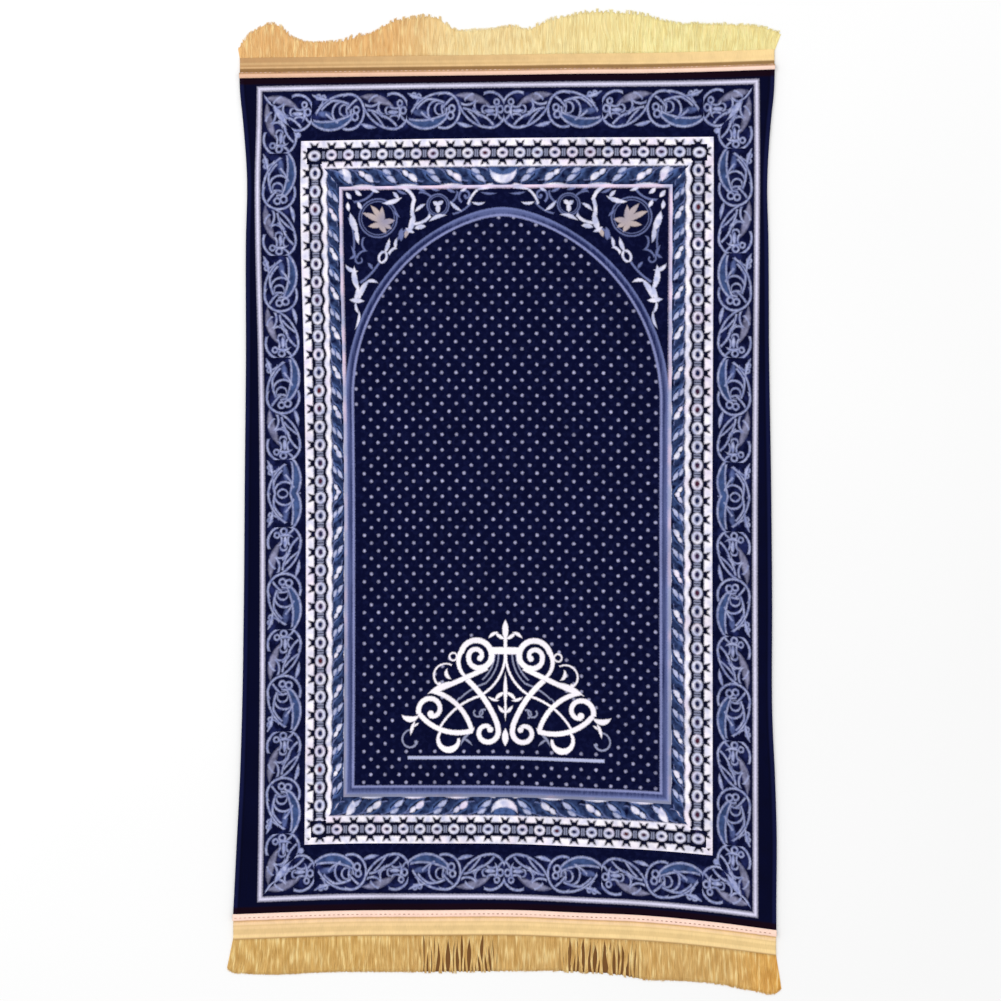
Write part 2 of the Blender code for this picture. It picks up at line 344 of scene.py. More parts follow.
FRAME_WIDTH = 218.5             # outer edge of the line round the niche and its spandrels
FRAME_LENGTH = 407.3
FRAME_LINE = 4.0
SPANDREL_FOOT = 105.0           # under this the niche has straight sides
ORNAMENT_WIDTH = 147.0
ORNAMENT_ROWS = (-370.0, -165.0)
# Where one printed zone meets the next, from the margin inwards.
ZONE_COLUMNS = (332.0, 270.6, FRAME_WIDTH, ORNAMENT_WIDTH)
ZONE_ROWS = (544.0, 469.4, FRAME_LENGTH, SPANDREL_FOOT) + ORNAMENT_ROWS

# Places of the bands inside the guard line, at the sides and at the ends. scroll: middle of
# the scroll border. chain: the row of rings. The rest is measured from the chain's middle:
# edge and outer_end bound the outer white strip, inner_start and leaf the inner one, line is
# the leaf band's end. wave: how far the inner strip swings. long and wide: half sizes of a
# ring, and of its hole.
Band = namedtuple("Band", "scroll scroll_scale chain edge outer_end inner_start wave leaf line "
                          "ring_pitch ring_long ring_wide hole_long hole_wide leaf_pitch "
                          "bar_long bar_wide")
SIDE_BAND = Band(scroll=28.5, scroll_scale=1.0, chain=77.2, edge=-19.8, outer_end=-8.9,
                 inner_start=9.5, wave=1.6, leaf=15.5, line=32.6, ring_pitch=24.17,
                 ring_long=8.3, ring_wide=6.8, hole_long=4.4, hole_wide=3.1, leaf_pitch=52.7,
                 bar_long=3.4, bar_wide=4.0)
END_BAND = Band(scroll=32.5, scroll_scale=0.92, chain=89.8, edge=-20.9, outer_end=-9.4,
                inner_start=9.6, wave=0.0, leaf=18.1, line=41.8, ring_pitch=22.83,
                ring_long=7.0, ring_wide=6.7, hole_long=3.5, hole_wide=2.5, leaf_pitch=59.2,
                bar_long=2.6, bar_wide=4.6)
END_RING_SHIFT = 1.1            # along the ends, to the left at the niche end
SIDE_RING_SHIFT = (4.1, 1.0)    # along the sides, towards the niche and towards the middle
CORNER_RING = (252.0, 449.3)
CORNER_CLEAR = (9.6, 10.6)
CORNER_RING_SIZE = (7.8, 6.8)   # half sizes of that ring, and of its hole
CORNER_HOLE_SIZE = (3.6, 2.6)
NOTCH_HALF = 4.6                # half width of the notches that the rings cut into the strips
OUTER_NOTCH_END = -13.5         # and how deep they go
INNER_NOTCH_END = -13.2
BAR_HALF_LINE = 0.9             # of the small bars between two rings
CHAIN_HALF = 8.6                # half the depth of the row of rings
CLEARED = 40.0                  # pushes a shape away where a corner ring lies
FAR_OFF = 90.0                  # does so on the whole of a side

# A leaf is the pointed space between two arcs from one end to the other, and a ribbon has
# an even width. bend is the sagitta of the middle line, positive to the left of its way. A
# hook is one tapering arm of a spiral: its angles are in degrees, clockwise if negative.
Leaf = namedtuple("Leaf", "x y to_x to_y bend width")
Ribbon = namedtuple("Ribbon", "x y to_x to_y bend width")
Ring = namedtuple("Ring", "x y radius half_line")
Hook = namedtuple("Hook", "x y radius to_radius start sweep width to_width")

# The dark notch beside each ring, drawn from the ring's middle outwards.
OUTER_PRONG = Leaf(2.2, -9, 5.8, -16.5, -0.8, 3.5)
INNER_PRONG = Leaf(2.2, -9.5, 5.8, -16, -0.8, 3.5)

# Scroll border. x runs outwards along the border from the middle of the rug's side, y is
# positive towards the guard line.
CELL_SMALL = 62.7               # length of the open ring's cell
SCROLL_PITCH = 136.2            # both cells
END_SCROLL_PITCH = 128.7        # the same at the ends of the rug
SCROLL_START = 3.0              # where one repeat is cut
SIDE_MIDDLE_RUN = 42.0          # half of the joined ring at the middle of each side
END_MIDDLE_CUT = 3.2            # how much of the first cell the middle of an end cuts off
SCROLL_RINGS = (                # centre, radius, half line, and where each ring is open
    (Ring(22.6, -0.3, 21.8, 1.25), 31.0),
    (Ring(CELL_SMALL + 23.8, -0.3, 21.6, 1.25), CELL_SMALL + 32.0),
)
SMALL_LEAVES_DOVE = (
    Leaf(69.5, 18, 23.5, 6, -3.2, 9),
)
SMALL_LINES = (
    Ribbon(22, -22.3, 65, 4.6, -6.8, 2.2),
    Ribbon(63, 8, 42.7, 11.4, 3.2, 2.2),
    Ribbon(60, 2, 34, -8, -1.6, 2.2),
    Ribbon(36.5, -6, 17.5, -19, -1.7, 2.3),
    Ribbon(53, -1, 36.5, -19, -1, 2),
    Ribbon(46.5, 2, 37.5, -7, 1, 2),
    Leaf(30.5, -1.3, 15, -1.3, 0.5, 5),
    Ribbon(27.5, 6, 15, 4.5, 2.2, 2.1),
    Ribbon(27.5, -7.8, 15, -7, -2.2, 2.1),
    Leaf(16, 7.5, 16, -11, -3, 3.8),
    Ribbon(11.5, -6, 4.5, -13, 0.8, 2.2),
    Ribbon(30, 5.5, 30.5, -4.5, 3.4, 2.1),
    Ribbon(42.7, 10, 37.5, -4, 3.8, 2.1),
    Leaf(69.5, -15, 48, -20, 1, 4.4),
    Ribbon(58, 12, 46, 19.5, -1.5, 1.9),
    Ring(8.6, 0.4, 3.9, 1.1),
    Ring(13.4, 9.3, 3.3, 1),
)
FULL_LEAVES_BLUE = (
    Leaf(75.5, -12, 18.5, -5, 8.4, 8.8),
)
FULL_LEAVES_PALE = (
    Leaf(70, -0.8, 47.5, -3.2, 0.6, 7),
)
FULL_LINES = (
    Ribbon(29, 21, 70.5, -2, 5.8, 2.2),
    Ribbon(76.5, -12.5, 20, -8.5, 11.6, 2.4),
    Ribbon(73.5, -10.5, 20, -3.5, 4.4, 2.1),
    Ribbon(62.5, 2.5, 45.5, 14, -1.3, 2.2),
    Ribbon(51, 13.5, 24, 9, -1.8, 2.4),
    Ribbon(56.5, -2, 39, -12.8, 1, 2.2),
    Ribbon(37, 12, 44, -9.6, 6, 2.2),
    Ribbon(29.2, 9, 32, -5.5, 6.4, 2.1),
    Ribbon(26.6, 7, 25.5, -5, 1, 2),
    Ribbon(12.5, 15, 26.5, 2.6, 0.8, 2.2),
    Ribbon(19.8, 3, 19.2, -10, 1.6, 2.1),
    Leaf(76, 21.5, 52, 15, 1.5, 4),
    Ribbon(66, 6, 60.5, 14.5, 1, 1.9),
    Ring(13.2, 1.9, 3.9, 1.1),
    Ring(15, -6.4, 4.2, 1.1),
    Ring(66.8, 18.6, 2.7, 1),
    Ring(60, 17.4, 2.7, 1),
)
CORNER_SPADE = Leaf(309.5, 519, 290, 492, 0.5, 8)
CORNER_EYE = (275.3, 477.3, 3.8)

# Leaf band: x runs along the band in one repeat, y from its outer edge (0) to its inner.
LEAF_REPEAT = 59.2
LEAF_DEPTH = 23.7
LEAF_START = 39.0
LEAF_END_SHIFT = 3.0            # outwards at the niche end, inwards at the foot end
LEAF_SPOTS = (
    Leaf(31.4, 4.4, 24.4, 11.6, 0.3, 5.6),
    Leaf(24.4, 9.4, 13.2, 18.8, 0.8, 7.6),
    Leaf(43, 25.4, 9, 25.4, 0.3, 5.2),
)
LEAF_BLUES = (
    Leaf(37.5, 1.5, 9, 22.5, 0.4, 15),
    Leaf(66, 1.5, 40, 22.5, 0.4, 13),
    Leaf(6.8, 1.5, -19.2, 22.5, 0.4, 13),
)
LEAF_DIM = (
    Leaf(59.2, 3.4, 48, 9.2, 0.8, 5),
    Leaf(53, 12.2, 41.6, 20, 0.8, 6.2),
)
LEAF_VEINS = (
    Ribbon(41.5, 1, 8, 24, 5.6, 2.6),
    Ribbon(38, -1, 5, 22, -5.6, 2.6),
    Ribbon(69, 1, 37, 24, 5.4, 2.4),
    Ribbon(9.8, 1, -22, 24, 5.4, 2.4),
    Ribbon(60, 9, 40, 22, -2.2, 2),
)
LEAF_EDGES = (
    Ribbon(44.5, 1.5, 12.5, 23, 4.6, 1.5),
    Ribbon(35, 0.5, 4, 19, -4.6, 1.4),
    Ribbon(71.5, 1.5, 40.5, 23, 4.4, 1.4),
    Ribbon(12.2, 1.5, -19, 23, 4.4, 1.4),
    Ribbon(57.5, 8.4, 39, 19.6, -2, 1.3),
    Ribbon(46, 1, 33, 9.5, 1.6, 1.8),
)
CORNER_LEAF = Leaf(214.5, 432, 205.5, 412.5, -2.2, 9)
SMILE = Leaf(-17, 427, 17, 427, -11.8, 10.9)     # at the middle of each end
SMILE_CLEAR = (0.0, 424.0, 20.5)

# Niche: the arch is a flat strip bent round two centres set apart.
NICHE_WIDTH = 215.3
NICHE_FOOT = -403.3
ARCH_RADIUS = 267.6
ARCH_APART = 50.7
ARCH_SPRING = 120.6
ARCH_TIP_ROUNDING = 26.0
ARCH_LEAN = 0.007               # to the left, as it rises
EDGE_SHARE, EDGE_BRIGHTER = 0.72, 0.0006    # how strong the niche's edge line is, and rises
EDGE_WARMER = 0.0011                        # how it turns pink towards the niche end
CROWN_FROM, CROWN_DEEP = 345.0, 35.0        # where the strip's dark middle fades upwards
FLANK_FROM, FLANK_DEEP = 150.0, 70.0        # where the strip narrows upwards
FLANK_NARROWER = 0.05                       # and by how much of its width

# Strips along the niche's outline, as depths from it.
NICHE_STRIP = (-0.5, 9.5)
NICHE_OUTER_LINE = (-0.2, 2.2)
NICHE_INNER_LINE = (8.2, 11.2)
STRIP_RIM = 4.4                 # where the strip's lighter rim ends

# Dots of the field: two staggered grids.
DOT_STEP = 19.5
DOT_ROW = 20.6
DOT_RADIUS = 1.9
DOT_SOFTNESS = 2.4
DOT_START = (-5.8, 137.3)
ARCH_CLEAR = 10.5               # how far the dots stay inside the arch
DOT_CLEAR = 14.5                # and inside the straight sides

# Ornament near the foot of the field. x: outwards from the middle, y: up from its base line.
ORNAMENT_BASE = -355.2
ORNAMENT_MIDDLE = 0.7
ORNAMENT_SQUEEZE = 1.012        # width of its table over the width that it is drawn
BASE_LINE = (132.7, 2.1)        # half width and half height
# Where the field has no dots: a disc, then boxes by half width, middle and half height.
ORNAMENT_DISC = (0.0, 94.0, 81.0)
ORNAMENT_BOXES = ((120.0, 46.0, 34.0), (145.0, 36.0, 25.0), (8.0, 150.0, 40.0), (133.0, 0.0, 4.5))
ORNAMENT_STROKES = (
    Hook(39, 135.4, 31.5, 21.2, -62, 80, 4, 7),       # upper curl, from its tail
    Hook(39, 135.4, 21.3, 20.2, 12, 190, 7, 7.6),
    Hook(39, 135.4, 20.2, 11, 195, 150, 7.4, 6.6),
    Hook(39, 135.4, 11.2, 6.4, 340, 230, 6.6, 5.6),
    Ring(34.2, 132.4, 0, 3.8),
    Ribbon(24.5, 119.8, 97, 88.6, -0.8, 6.4),                 # strap and its tip
    Leaf(72, 101.6, 105, 85.3, 0.6, 6.6),
    Ribbon(98, 88.5, 45, 34.5, -10.6, 6),                 # falls from the strap's tip
    Ribbon(52, 104, 9.6, 41, -5, 6.8),                  # crossing strap
    Hook(25, 34, 16.4, 7.4, 146, 335, 7, 5.6),        # its lower curl
    Ring(20.4, 37.6, 0, 3.9),
    Ribbon(118.2, 60, 43, 36.5, 12.4, 6.4),                 # under the outer curl
    Hook(100.5, 64, 18.2, 8.2, -16, 300, 6.6, 5.8),
    Ring(101.4, 58.4, 0, 4.3),
    Ribbon(0.6, 132, 37.5, 81, -8.4, 3),                  # thin band, in two parts
    Ribbon(37, 81.4, 91, 36, 7, 3),
    Hook(76, 24.5, 15.6, 13.8, 48, -150, 2.8, 8.6),       # and the bulb at its end
    Hook(76, 24.5, 13.8, 13, 260, -85, 8.6, 3),
    Leaf(0, 112, 0, 68, 0.1, 5),                      # star
    Leaf(0.5, 87, 14, 76.4, 1.8, 4.6),
    Leaf(9, 76.4, 22.8, 81, -1.4, 3.6),
    Leaf(0, 80, 0, 51, 0.1, 3.2),
    Leaf(-1, 60, 9.6, 69.5, -1.4, 4.2),
    Leaf(0, 183.5, 0, 156.5, 0.1, 7.8),                     # finial
    Leaf(0.5, 158, 13.5, 166.2, -0.8, 4.6),
    Leaf(10, 167.2, 22.4, 159.8, 1.2, 4.2),
    Leaf(0, 39, 0, 16, 0.05, 8.2),                      # drop
    Hook(82, 108.2, 17.6, 13.6, 122, -188, 1.8, 2.8),     # side curls
    Ring(89.4, 98.2, 0, 2.3),
    Leaf(79, 118.5, 74, 105, 3.4, 4.6),
    Leaf(117.8, 55.8, 141.4, 56.6, -5, 7.4),                  # outer bracket
    Leaf(123, 49, 129, 30.5, 0.8, 4.2),
    Leaf(118, 46, 124.5, 41, 0.4, 2.6),
    Ring(70.8, 134.6, 5, 1),
)
ORNAMENT_DIM = (
    Ribbon(9.2, 138, 27, 99, -4.6, 1.8),
    Ribbon(14.6, 138, 31, 104, -4, 1.8),
    Ribbon(27, 99, 61, 79, 2.4, 2),
    Ribbon(61, 80, 66.5, 71, 1.4, 2),
    Hook(38, 60.5, 7.6, 4, 150, 250, 2.4, 2),
    Hook(29.5, 58, 6.4, 4.4, 120, -200, 2.4, 1.8),
    Leaf(47, 33, 60, 17, 2, 3.4),
    Leaf(45, 17, 57, 26, 1, 3),
    Hook(128.8, 24.2, 13, 9.2, 96, -262, 1.8, 2.8),
    Ring(121.6, 20.8, 0, 2.2),
)
ORNAMENT_BARS = ((142.6, 18.8, 4.6), (146.0, 2.2, 20.0))    # place, half width and height

# Spandrels. x: outwards from the middle line, y: place on the cloth.
SPANDREL_LINES = (
    Leaf(204, 372, 194, 345, 1.2, 8.2),             # stroke beside the frame line
    Leaf(195.5, 353, 193, 331, 1.4, 5.6),
    Leaf(211, 303, 195.5, 294.5, 3, 5),             # forked branch
    Leaf(199.5, 301, 194, 268, 2.8, 7.4),
    Leaf(194.5, 276, 201, 252.5, -1.4, 6),
    Leaf(168.5, 278.5, 184.5, 279, 2.6, 4.4),
    Leaf(180.5, 282, 195, 255.5, 2.2, 7),
    Leaf(206.5, 256.5, 187.5, 254.5, 0.4, 6.2),
    Leaf(198.5, 253, 195, 238, 1.8, 3.6),
    Leaf(194.8, 241, 200, 218, -2.2, 3.6),
    Ribbon(138, 407, 117, 386, -4.6, 4.4),          # stem from the top, and its bud
    Ribbon(117.2, 389, 119.6, 366, 1.6, 4.6),
    Leaf(118, 371, 125.6, 344, -1.2, 7.6),
    Leaf(116, 373, 103, 382.5, -1, 4.4),
    Ribbon(120, 356.5, 96, 367.5, 3.4, 3.8),
    Leaf(117, 350.5, 102.5, 353, -0.8, 6.2),
    Leaf(129, 351, 118, 345, 0.6, 4.4),
    Leaf(209, 399.5, 202.5, 391, 0.4, 5.2),             # small leaves in the corner
    Leaf(197, 403, 189, 395.5, 0.6, 5),
    Leaf(207, 386.5, 205.5, 375, 0.8, 4.6),
    Leaf(193.5, 387, 188.5, 377.5, 0.4, 4.6),
    Leaf(177.5, 405.5, 165, 399.5, 0.6, 4.2),
    Leaf(160, 384.5, 135, 391.5, 1.8, 5.8),
    Leaf(146, 399, 138.5, 390, -0.6, 4.4),
    Ribbon(157.5, 320.5, 164, 305, 5, 3),           # bud with a long tip
    Ribbon(157.5, 320.5, 164, 305, -5, 3),
    Leaf(158.5, 318, 151.5, 337, 1, 5),
    Ribbon(152.6, 316.5, 142.6, 325, -1.6, 3.4),
    Leaf(143.4, 323, 141.6, 337.5, -0.8, 4),
    Leaf(69.5, 386, 55, 373, 1.2, 4.4),               # leaves about the small ring
    Leaf(97, 360, 75.5, 367.5, -2, 4.8),
    Ribbon(46, 381.5, 33.5, 401, -1.8, 3),
    Leaf(35.5, 400.5, 13.5, 403, -1.6, 3.6),
    Leaf(40.5, 384.5, 24.5, 384, 2, 3.6),
    Leaf(56, 399.5, 47.5, 404.5, 0.6, 3.4),
    Leaf(84.5, 379.5, 92, 385.5, 0.6, 5.4),               # flower in it
    Leaf(86.5, 380.5, 79, 386, -0.6, 5.4),
    Leaf(85.6, 382, 85.6, 371, 0.2, 6),
)
SPANDREL_THIN = (
    Ribbon(199, 387, 170.5, 404, 5, 2.4),
    Ribbon(206, 366, 200, 322, -3, 1.9),
    Ribbon(186.5, 339, 183.5, 321, 3.4, 2.2),
    Ribbon(184, 322, 196, 312.5, 2.2, 2.2),
    Hook(192.5, 309.5, 6, 3, 60, -280, 2, 1.6),
    Leaf(203, 327, 198.5, 311, -1.2, 3.4),
    Leaf(205.5, 311, 197.5, 317.5, 0.8, 3.4),
    Ribbon(166, 305, 192, 279, -2, 2.6),
    Leaf(181, 305, 175, 296.5, -0.6, 3.8),
    Leaf(134, 350.5, 135.5, 334, 0.8, 7),
    Ribbon(128.5, 349, 140, 336, 1.2, 2.2),
    Ribbon(110.5, 398.5, 94, 391, -2.4, 2.2),
    Leaf(112, 405, 102, 399.5, 0.6, 3.6),
    Leaf(96.5, 405.5, 84, 400.5, 0.8, 3.4),
    Ribbon(97, 372, 103.5, 359, -1.4, 2),
    Ribbon(71.5, 383, 60, 399, 3.2, 2.2),
    Leaf(74.5, 404, 63, 398, 0.8, 3.6),
    Ribbon(66, 369, 42.5, 383.5, 2.6, 2),
    Leaf(28, 397.5, 10, 396, 1, 2.6),
    Leaf(141, 402.5, 128, 396.5, 0.8, 3.2),
    Leaf(144.5, 374, 137.5, 366, 0.6, 3.6),
    Ring(166.6, 364.8, 25.6, 0.8),
    Ring(166.6, 364.8, 22.2, 0.35),
    Ring(85.7, 381.2, 14.4, 0.8),
    Ring(85.7, 381.2, 11.8, 0.35),
    Hook(49.3, 393.2, 9.8, 2.6, -60, 350, 2.8, 2.2),
    Ring(49.6, 392.6, 0, 1.9),
)
SPANDREL_TANS = (
    Leaf(157, 357, 187.4, 372, 1, 7.6),
    Leaf(158, 356, 176, 381.6, 1.2, 7.6),
    Leaf(160, 355, 161, 379.5, -0.6, 7.2),
    Leaf(164, 360, 144.2, 361.6, 0.8, 7.6),
    Leaf(166, 362, 155.8, 344.6, 0.6, 7.4),
    Leaf(156, 359, 179.5, 354, -0.8, 7.4),
    Leaf(163, 361, 148.2, 350.4, 0.6, 6.4),
    Leaf(123.5, 352, 130, 338, 1, 5.8),
)


# ---------------------------------------------------------------- shader expressions

def paint(red, green, blue):
    """A colour given as it looks, from 0 to 255, in the linear scale of the shaders."""
    shown = np.array((red, green, blue)) / 255
    linear = np.where(shown <= 0.04045, shown / 12.92, ((shown + 0.055) / 1.055) ** 2.4)
    return tuple(float(part) for part in linear) + (1.0,)


class Value:
    """One output of a shader node: arithmetic on it adds Math nodes."""

    def __init__(self, shader, socket):
        self.shader = shader
        self.socket = socket

    def math(self, operation, *others, clamp=False):
        return self.shader.math(operation, self, *others, clamp=clamp)

    def __add__(self, other):
        return self.math("ADD", other)

    def __sub__(self, other):
        return self.math("SUBTRACT", other)

    def __mul__(self, other):
        return self.math("MULTIPLY", other)

    def __truediv__(self, other):
        return self.math("DIVIDE", other)

    def __neg__(self):
        return self.math("MULTIPLY", -1.0)

    def __abs__(self):
        return self.math("ABSOLUTE")

    def __lt__(self, other):
        return self.math("LESS_THAN", other)

    def __rsub__(self, other):
        return self.shader.math("SUBTRACT", other, self)

    __radd__ = __add__
    __rmul__ = __mul__


class Shader:
    """A material's node tree. Distances are in millimetres and negative inside a shape."""

    def __init__(self, name):
        self.material = bpy.data.materials.new(name)
        self.material.use_nodes = True
        self.tree = self.material.node_tree
        self.tree.nodes.clear()

    def node(self, kind, settings=None, inputs=None, output=0):
        """Add a node of any kind: its settings, then what its sockets hold or link to."""
        node = self.tree.nodes.new("ShaderNode" + kind)
        for name, setting in (settings or {}).items():
            setattr(node, name, setting)
        for key, given in (inputs or {}).items():
            if isinstance(given, Value):
                self.tree.links.new(given.socket, node.inputs[key])
            else:
                node.inputs[key].default_value = given
        return Value(self, node.outputs[output]) if node.outputs else None

    def math(self, operation, *given, clamp=False):
        settings = {"operation": operation, "use_clamp": clamp}
        return self.node("Math", settings, dict(enumerate(given)))

    def vector(self, operation, *given, output=0):
        return self.node("VectorMath", {"operation": operation}, dict(enumerate(given)), output)

    def least(self, one, other):
        return other if one is None else self.math("MINIMUM", one, other)

    def most(self, one, other):
        return self.math("MAXIMUM", one, other)

    def mixed(self, share, off, on):
        """Pass from one number to another as the share goes from 0 to 1."""
        return self.node("Mix", {"data_type": "FLOAT"}, {0: share, 2: off, 3: on})

    def colour(self, share, base, top, blend="MIX"):
        """Lay one colour over another, by a share from 0 to 1."""
        settings = {"data_type": "RGBA", "blend_type": blend}
        return self.node("Mix", settings, {0: share, 6: base, 7: top}, 2)

    def noise(self, place, scale, detail=1.0, flat=True):
        settings = {"noise_dimensions": "2D" if flat else "3D"}
        inputs = {"Vector": place, "Scale": scale, "Detail": detail}
        return self.node("TexNoise", settings, inputs)

    def parts(self, vector):
        """The first two parts of a vector."""
        first = self.node("SeparateXYZ", None, {0: vector})
        return first, Value(self, first.socket.node.outputs[1])

    def point(self, x, y, level=1.0):
        return self.node("CombineXYZ", None, {0: x, 1: y, 2: level})

    def kept(self, name):
        """A number that the mesh keeps for each vertex."""
        return self.node("Attribute", {"attribute_name": name}, None, "Fac")

    def object_place(self):
        return self.node("TexCoord", None, None, "Object")

    def length(self, x, y):
        return self.vector("LENGTH", self.point(x, y, 0.0), output=1)

    def finish(self, shade, roughness, relief=None, sheen=0.0, gloss=0.0):
        """Close the material: its colour, roughness, the grain that is raised, and its shine."""
        inputs = {"Base Color": shade, "Roughness": roughness, "Sheen Weight": sheen,
                  "Specular IOR Level": gloss}
        if relief:
            strength, grain = relief
            inputs["Normal"] = self.node("Bump", None, {
                "Strength": strength, "Distance": GRAIN_HEIGHT, "Height": grain})
        surface = self.node("BsdfPrincipled", None, inputs)
        self.node("OutputMaterial", None, {"Surface": surface})
        return self.material

    def wrapped(self, value, step):
        """What is left of a value after whole steps, from 0 up to the step."""
        return value.math("FLOORED_MODULO", step)

    def printed(self, distance, softness=PRINT_SOFTNESS):
        """1 inside a shape and 0 outside it, with a soft edge."""
        return distance.math("MULTIPLY_ADD", -1.0 / softness, 0.5, clamp=True)

    def lay(self, base, distance, tone, softness=PRINT_SOFTNESS, share=None):
        """Lay a shape in one tone over a colour, wholly or by a share."""
        drawn = self.printed(distance, softness)
        return self.colour(drawn if share is None else drawn * share, base, tone)

    def between(self, value, low, high):
        """Distance to a strip: half the width off |value - middle|."""
        return abs(value - (low + high) / 2) - (high - low) / 2

    def disc(self, place, x, y, radius):
        return self.vector("DISTANCE", place, (x, y, 1.0), output=1) - radius

    def ring(self, place, ring, shift=0.0):
        reach = self.disc(place, ring.x + shift, ring.y, ring.radius)
        return abs(reach) - ring.half_line

    def fold(self, place):
        """The four quarters of the cloth laid over one another."""
        return self.vector("ABSOLUTE", place)

    def box(self, x, y, half_x, half_y):
        return self.most(abs(x) - half_x, abs(y) - half_y)

    def oval(self, x, y, half_x, half_y):
        """Distance to an ellipse, good near it: (length(x / a, y / b) - 1) * b."""
        return (self.length(x / half_x, y / half_y) - 1.0) * half_y

    def leaf(self, place, leaf, shift=0.0):
        """Distance to a leaf: the larger of the distances past its two arcs.

        An arc of sagitta h over a chord c has the radius (c*c/4 + h*h) / (2*|h|), and its
        centre lies off the chord's middle by h - radius, against the side it bulges to.
        """
        chord = math.hypot(leaf.to_x - leaf.x, leaf.to_y - leaf.y)
        left_x = (leaf.y - leaf.to_y) / chord
        left_y = (leaf.to_x - leaf.x) / chord
        middle_x = (leaf.x + leaf.to_x) / 2 + shift
        middle_y = (leaf.y + leaf.to_y) / 2
        shape = None
        for side in (1, -1):
            bulge = leaf.bend * side + leaf.width / 2
            sagitta = max(abs(bulge), chord * STRAIGHTEST)
            radius = (chord * chord / 4 + sagitta * sagitta) / (2 * sagitta)
            off = (sagitta - radius) * side * (1 if bulge >= 0 else -1)
            centre = (middle_x + left_x * off, middle_y + left_y * off, 1.0)
            reach = self.vector("DISTANCE", place, centre, output=1)
            past = reach - radius if bulge >= 0 else radius - reach
            shape = past if shape is None else self.most(shape, past)
        return shape

    def ribbon(self, place, ribbon, shift=0.0):
        """Distance to an arc of even width, cut off by the disc that its chord spans."""
        chord = math.hypot(ribbon.to_x - ribbon.x, ribbon.to_y - ribbon.y)
        sagitta = math.copysign(max(abs(ribbon.bend), chord * STRAIGHTEST), ribbon.bend)
        radius = (chord * chord / 4 + sagitta * sagitta) / (2 * abs(sagitta))
        off = (sagitta - math.copysign(radius, sagitta)) / chord
        middle_x = (ribbon.x + ribbon.to_x) / 2 + shift
        middle_y = (ribbon.y + ribbon.to_y) / 2
        centre_x = middle_x + (ribbon.y - ribbon.to_y) * off
        centre_y = middle_y + (ribbon.to_x - ribbon.x) * off
        line = abs(self.disc(place, centre_x, centre_y, radius)) - ribbon.width / 2
        return self.most(line, self.disc(place, middle_x, middle_y, chord / 2))

    def strokes(self, place, rows, shape=None, shift=0.0):
        """Distance to the nearest of a table's leaves, ribbons, hooks and rings, and of a shape."""
        kinds = {Leaf: self.leaf, Ribbon: self.ribbon, Hook: self.hook, Ring: self.ring}
        for row in rows:
            shape = self.least(shape, kinds[type(row)](place, row, shift))
        return shape

    def hook(self, place, hook, shift=0.0):
        """Distance to a spiral arm: |length - radius at this angle| - half its width there.

        The share of the way along is (angle - start) / sweep, and past 1 the arm has ended.
        """
        sweep = math.radians(hook.sweep)
        reach = self.vector("SUBTRACT", place, (hook.x + shift, hook.y, 1.0))
        away = self.vector("LENGTH", reach, output=1)
        x, y = self.parts(reach)
        turned = (self.math("ARCTAN2", y, x) - math.radians(hook.start)) / sweep
        share = self.wrapped(turned, 2 * math.pi / abs(sweep))
        radius = share * (hook.to_radius - hook.radius) + hook.radius
        half = share * ((hook.to_width - hook.width) / 2) + hook.width / 2
        ended = (share - 1.0) * (abs(sweep) * hook.to_radius)
        return self.most(abs(away - radius) - half, ended)


def flat_place(shader):
    """The place on the flat cloth as (x, y, 1) in millimetres, strayed a little like pile."""
    flat = shader.node("UVMap", {"uv_map": "flat_cloth"})
    place = shader.vector("MULTIPLY_ADD", flat, (1 / MM, 1 / MM, 0.0), (0.0, 0.0, 1.0))
    stray = shader.node("TexNoise", {"noise_dimensions": "2D"},
                        {"Vector": place, "Scale": 0.5, "Detail": 0.0}, "Color")
    half = PILE_STRAY / 2
    stray = shader.vector("MULTIPLY_ADD", stray, (PILE_STRAY, PILE_STRAY, 0.0),
                          (-half, -half, 0.0))
    return shader.vector("ADD", place, stray)


def dotted(shader, place, outside, colours):
    """The field's ground with its staggered dots.

    Two grids, half a step apart: the place is wrapped into one cell, and a dot is drawn
    whole where outside(its middle) is negative.
    """
    low = (-DOT_STEP / 2, -DOT_ROW / 2, 0.0)
    high = (DOT_STEP / 2, DOT_ROW / 2, 2.0)
    share = None
    for half_steps in (0, 1):
        start = (DOT_START[0] + half_steps * DOT_STEP / 2, DOT_START[1] + half_steps * DOT_ROW / 2)
        offset = shader.vector("WRAP", shader.vector("SUBTRACT", place, start + (0.0,)), high, low)
        middle = shader.vector("MULTIPLY_ADD", offset, (-1.0, -1.0, 0.0), place)
        near = shader.vector("DISTANCE", offset, (0.0, 0.0, 1.0), output=1) - DOT_RADIUS
        drawn = shader.printed(near, DOT_SOFTNESS) * (outside(middle) < 0.0)
        share = drawn if share is None else shader.most(share, drawn)
    worn = shader.noise(place, 0.11) * 0.75 + 0.28
    return shader.colour(share * worn, colours.navy, colours.dots)


# ---------------------------------------------------------------- prints of the zones

def turned_insets(shader, place):
    """Insets from the guard line at the side and at the end, and 1 where the end's rules."""
    u, v = shader.parts(shader.fold(place))
    side_inset = GUARD_WIDTH - u
    end_inset = GUARD_LENGTH - v
    return u, v, side_inset, end_inset, end_inset < side_inset * MITRE


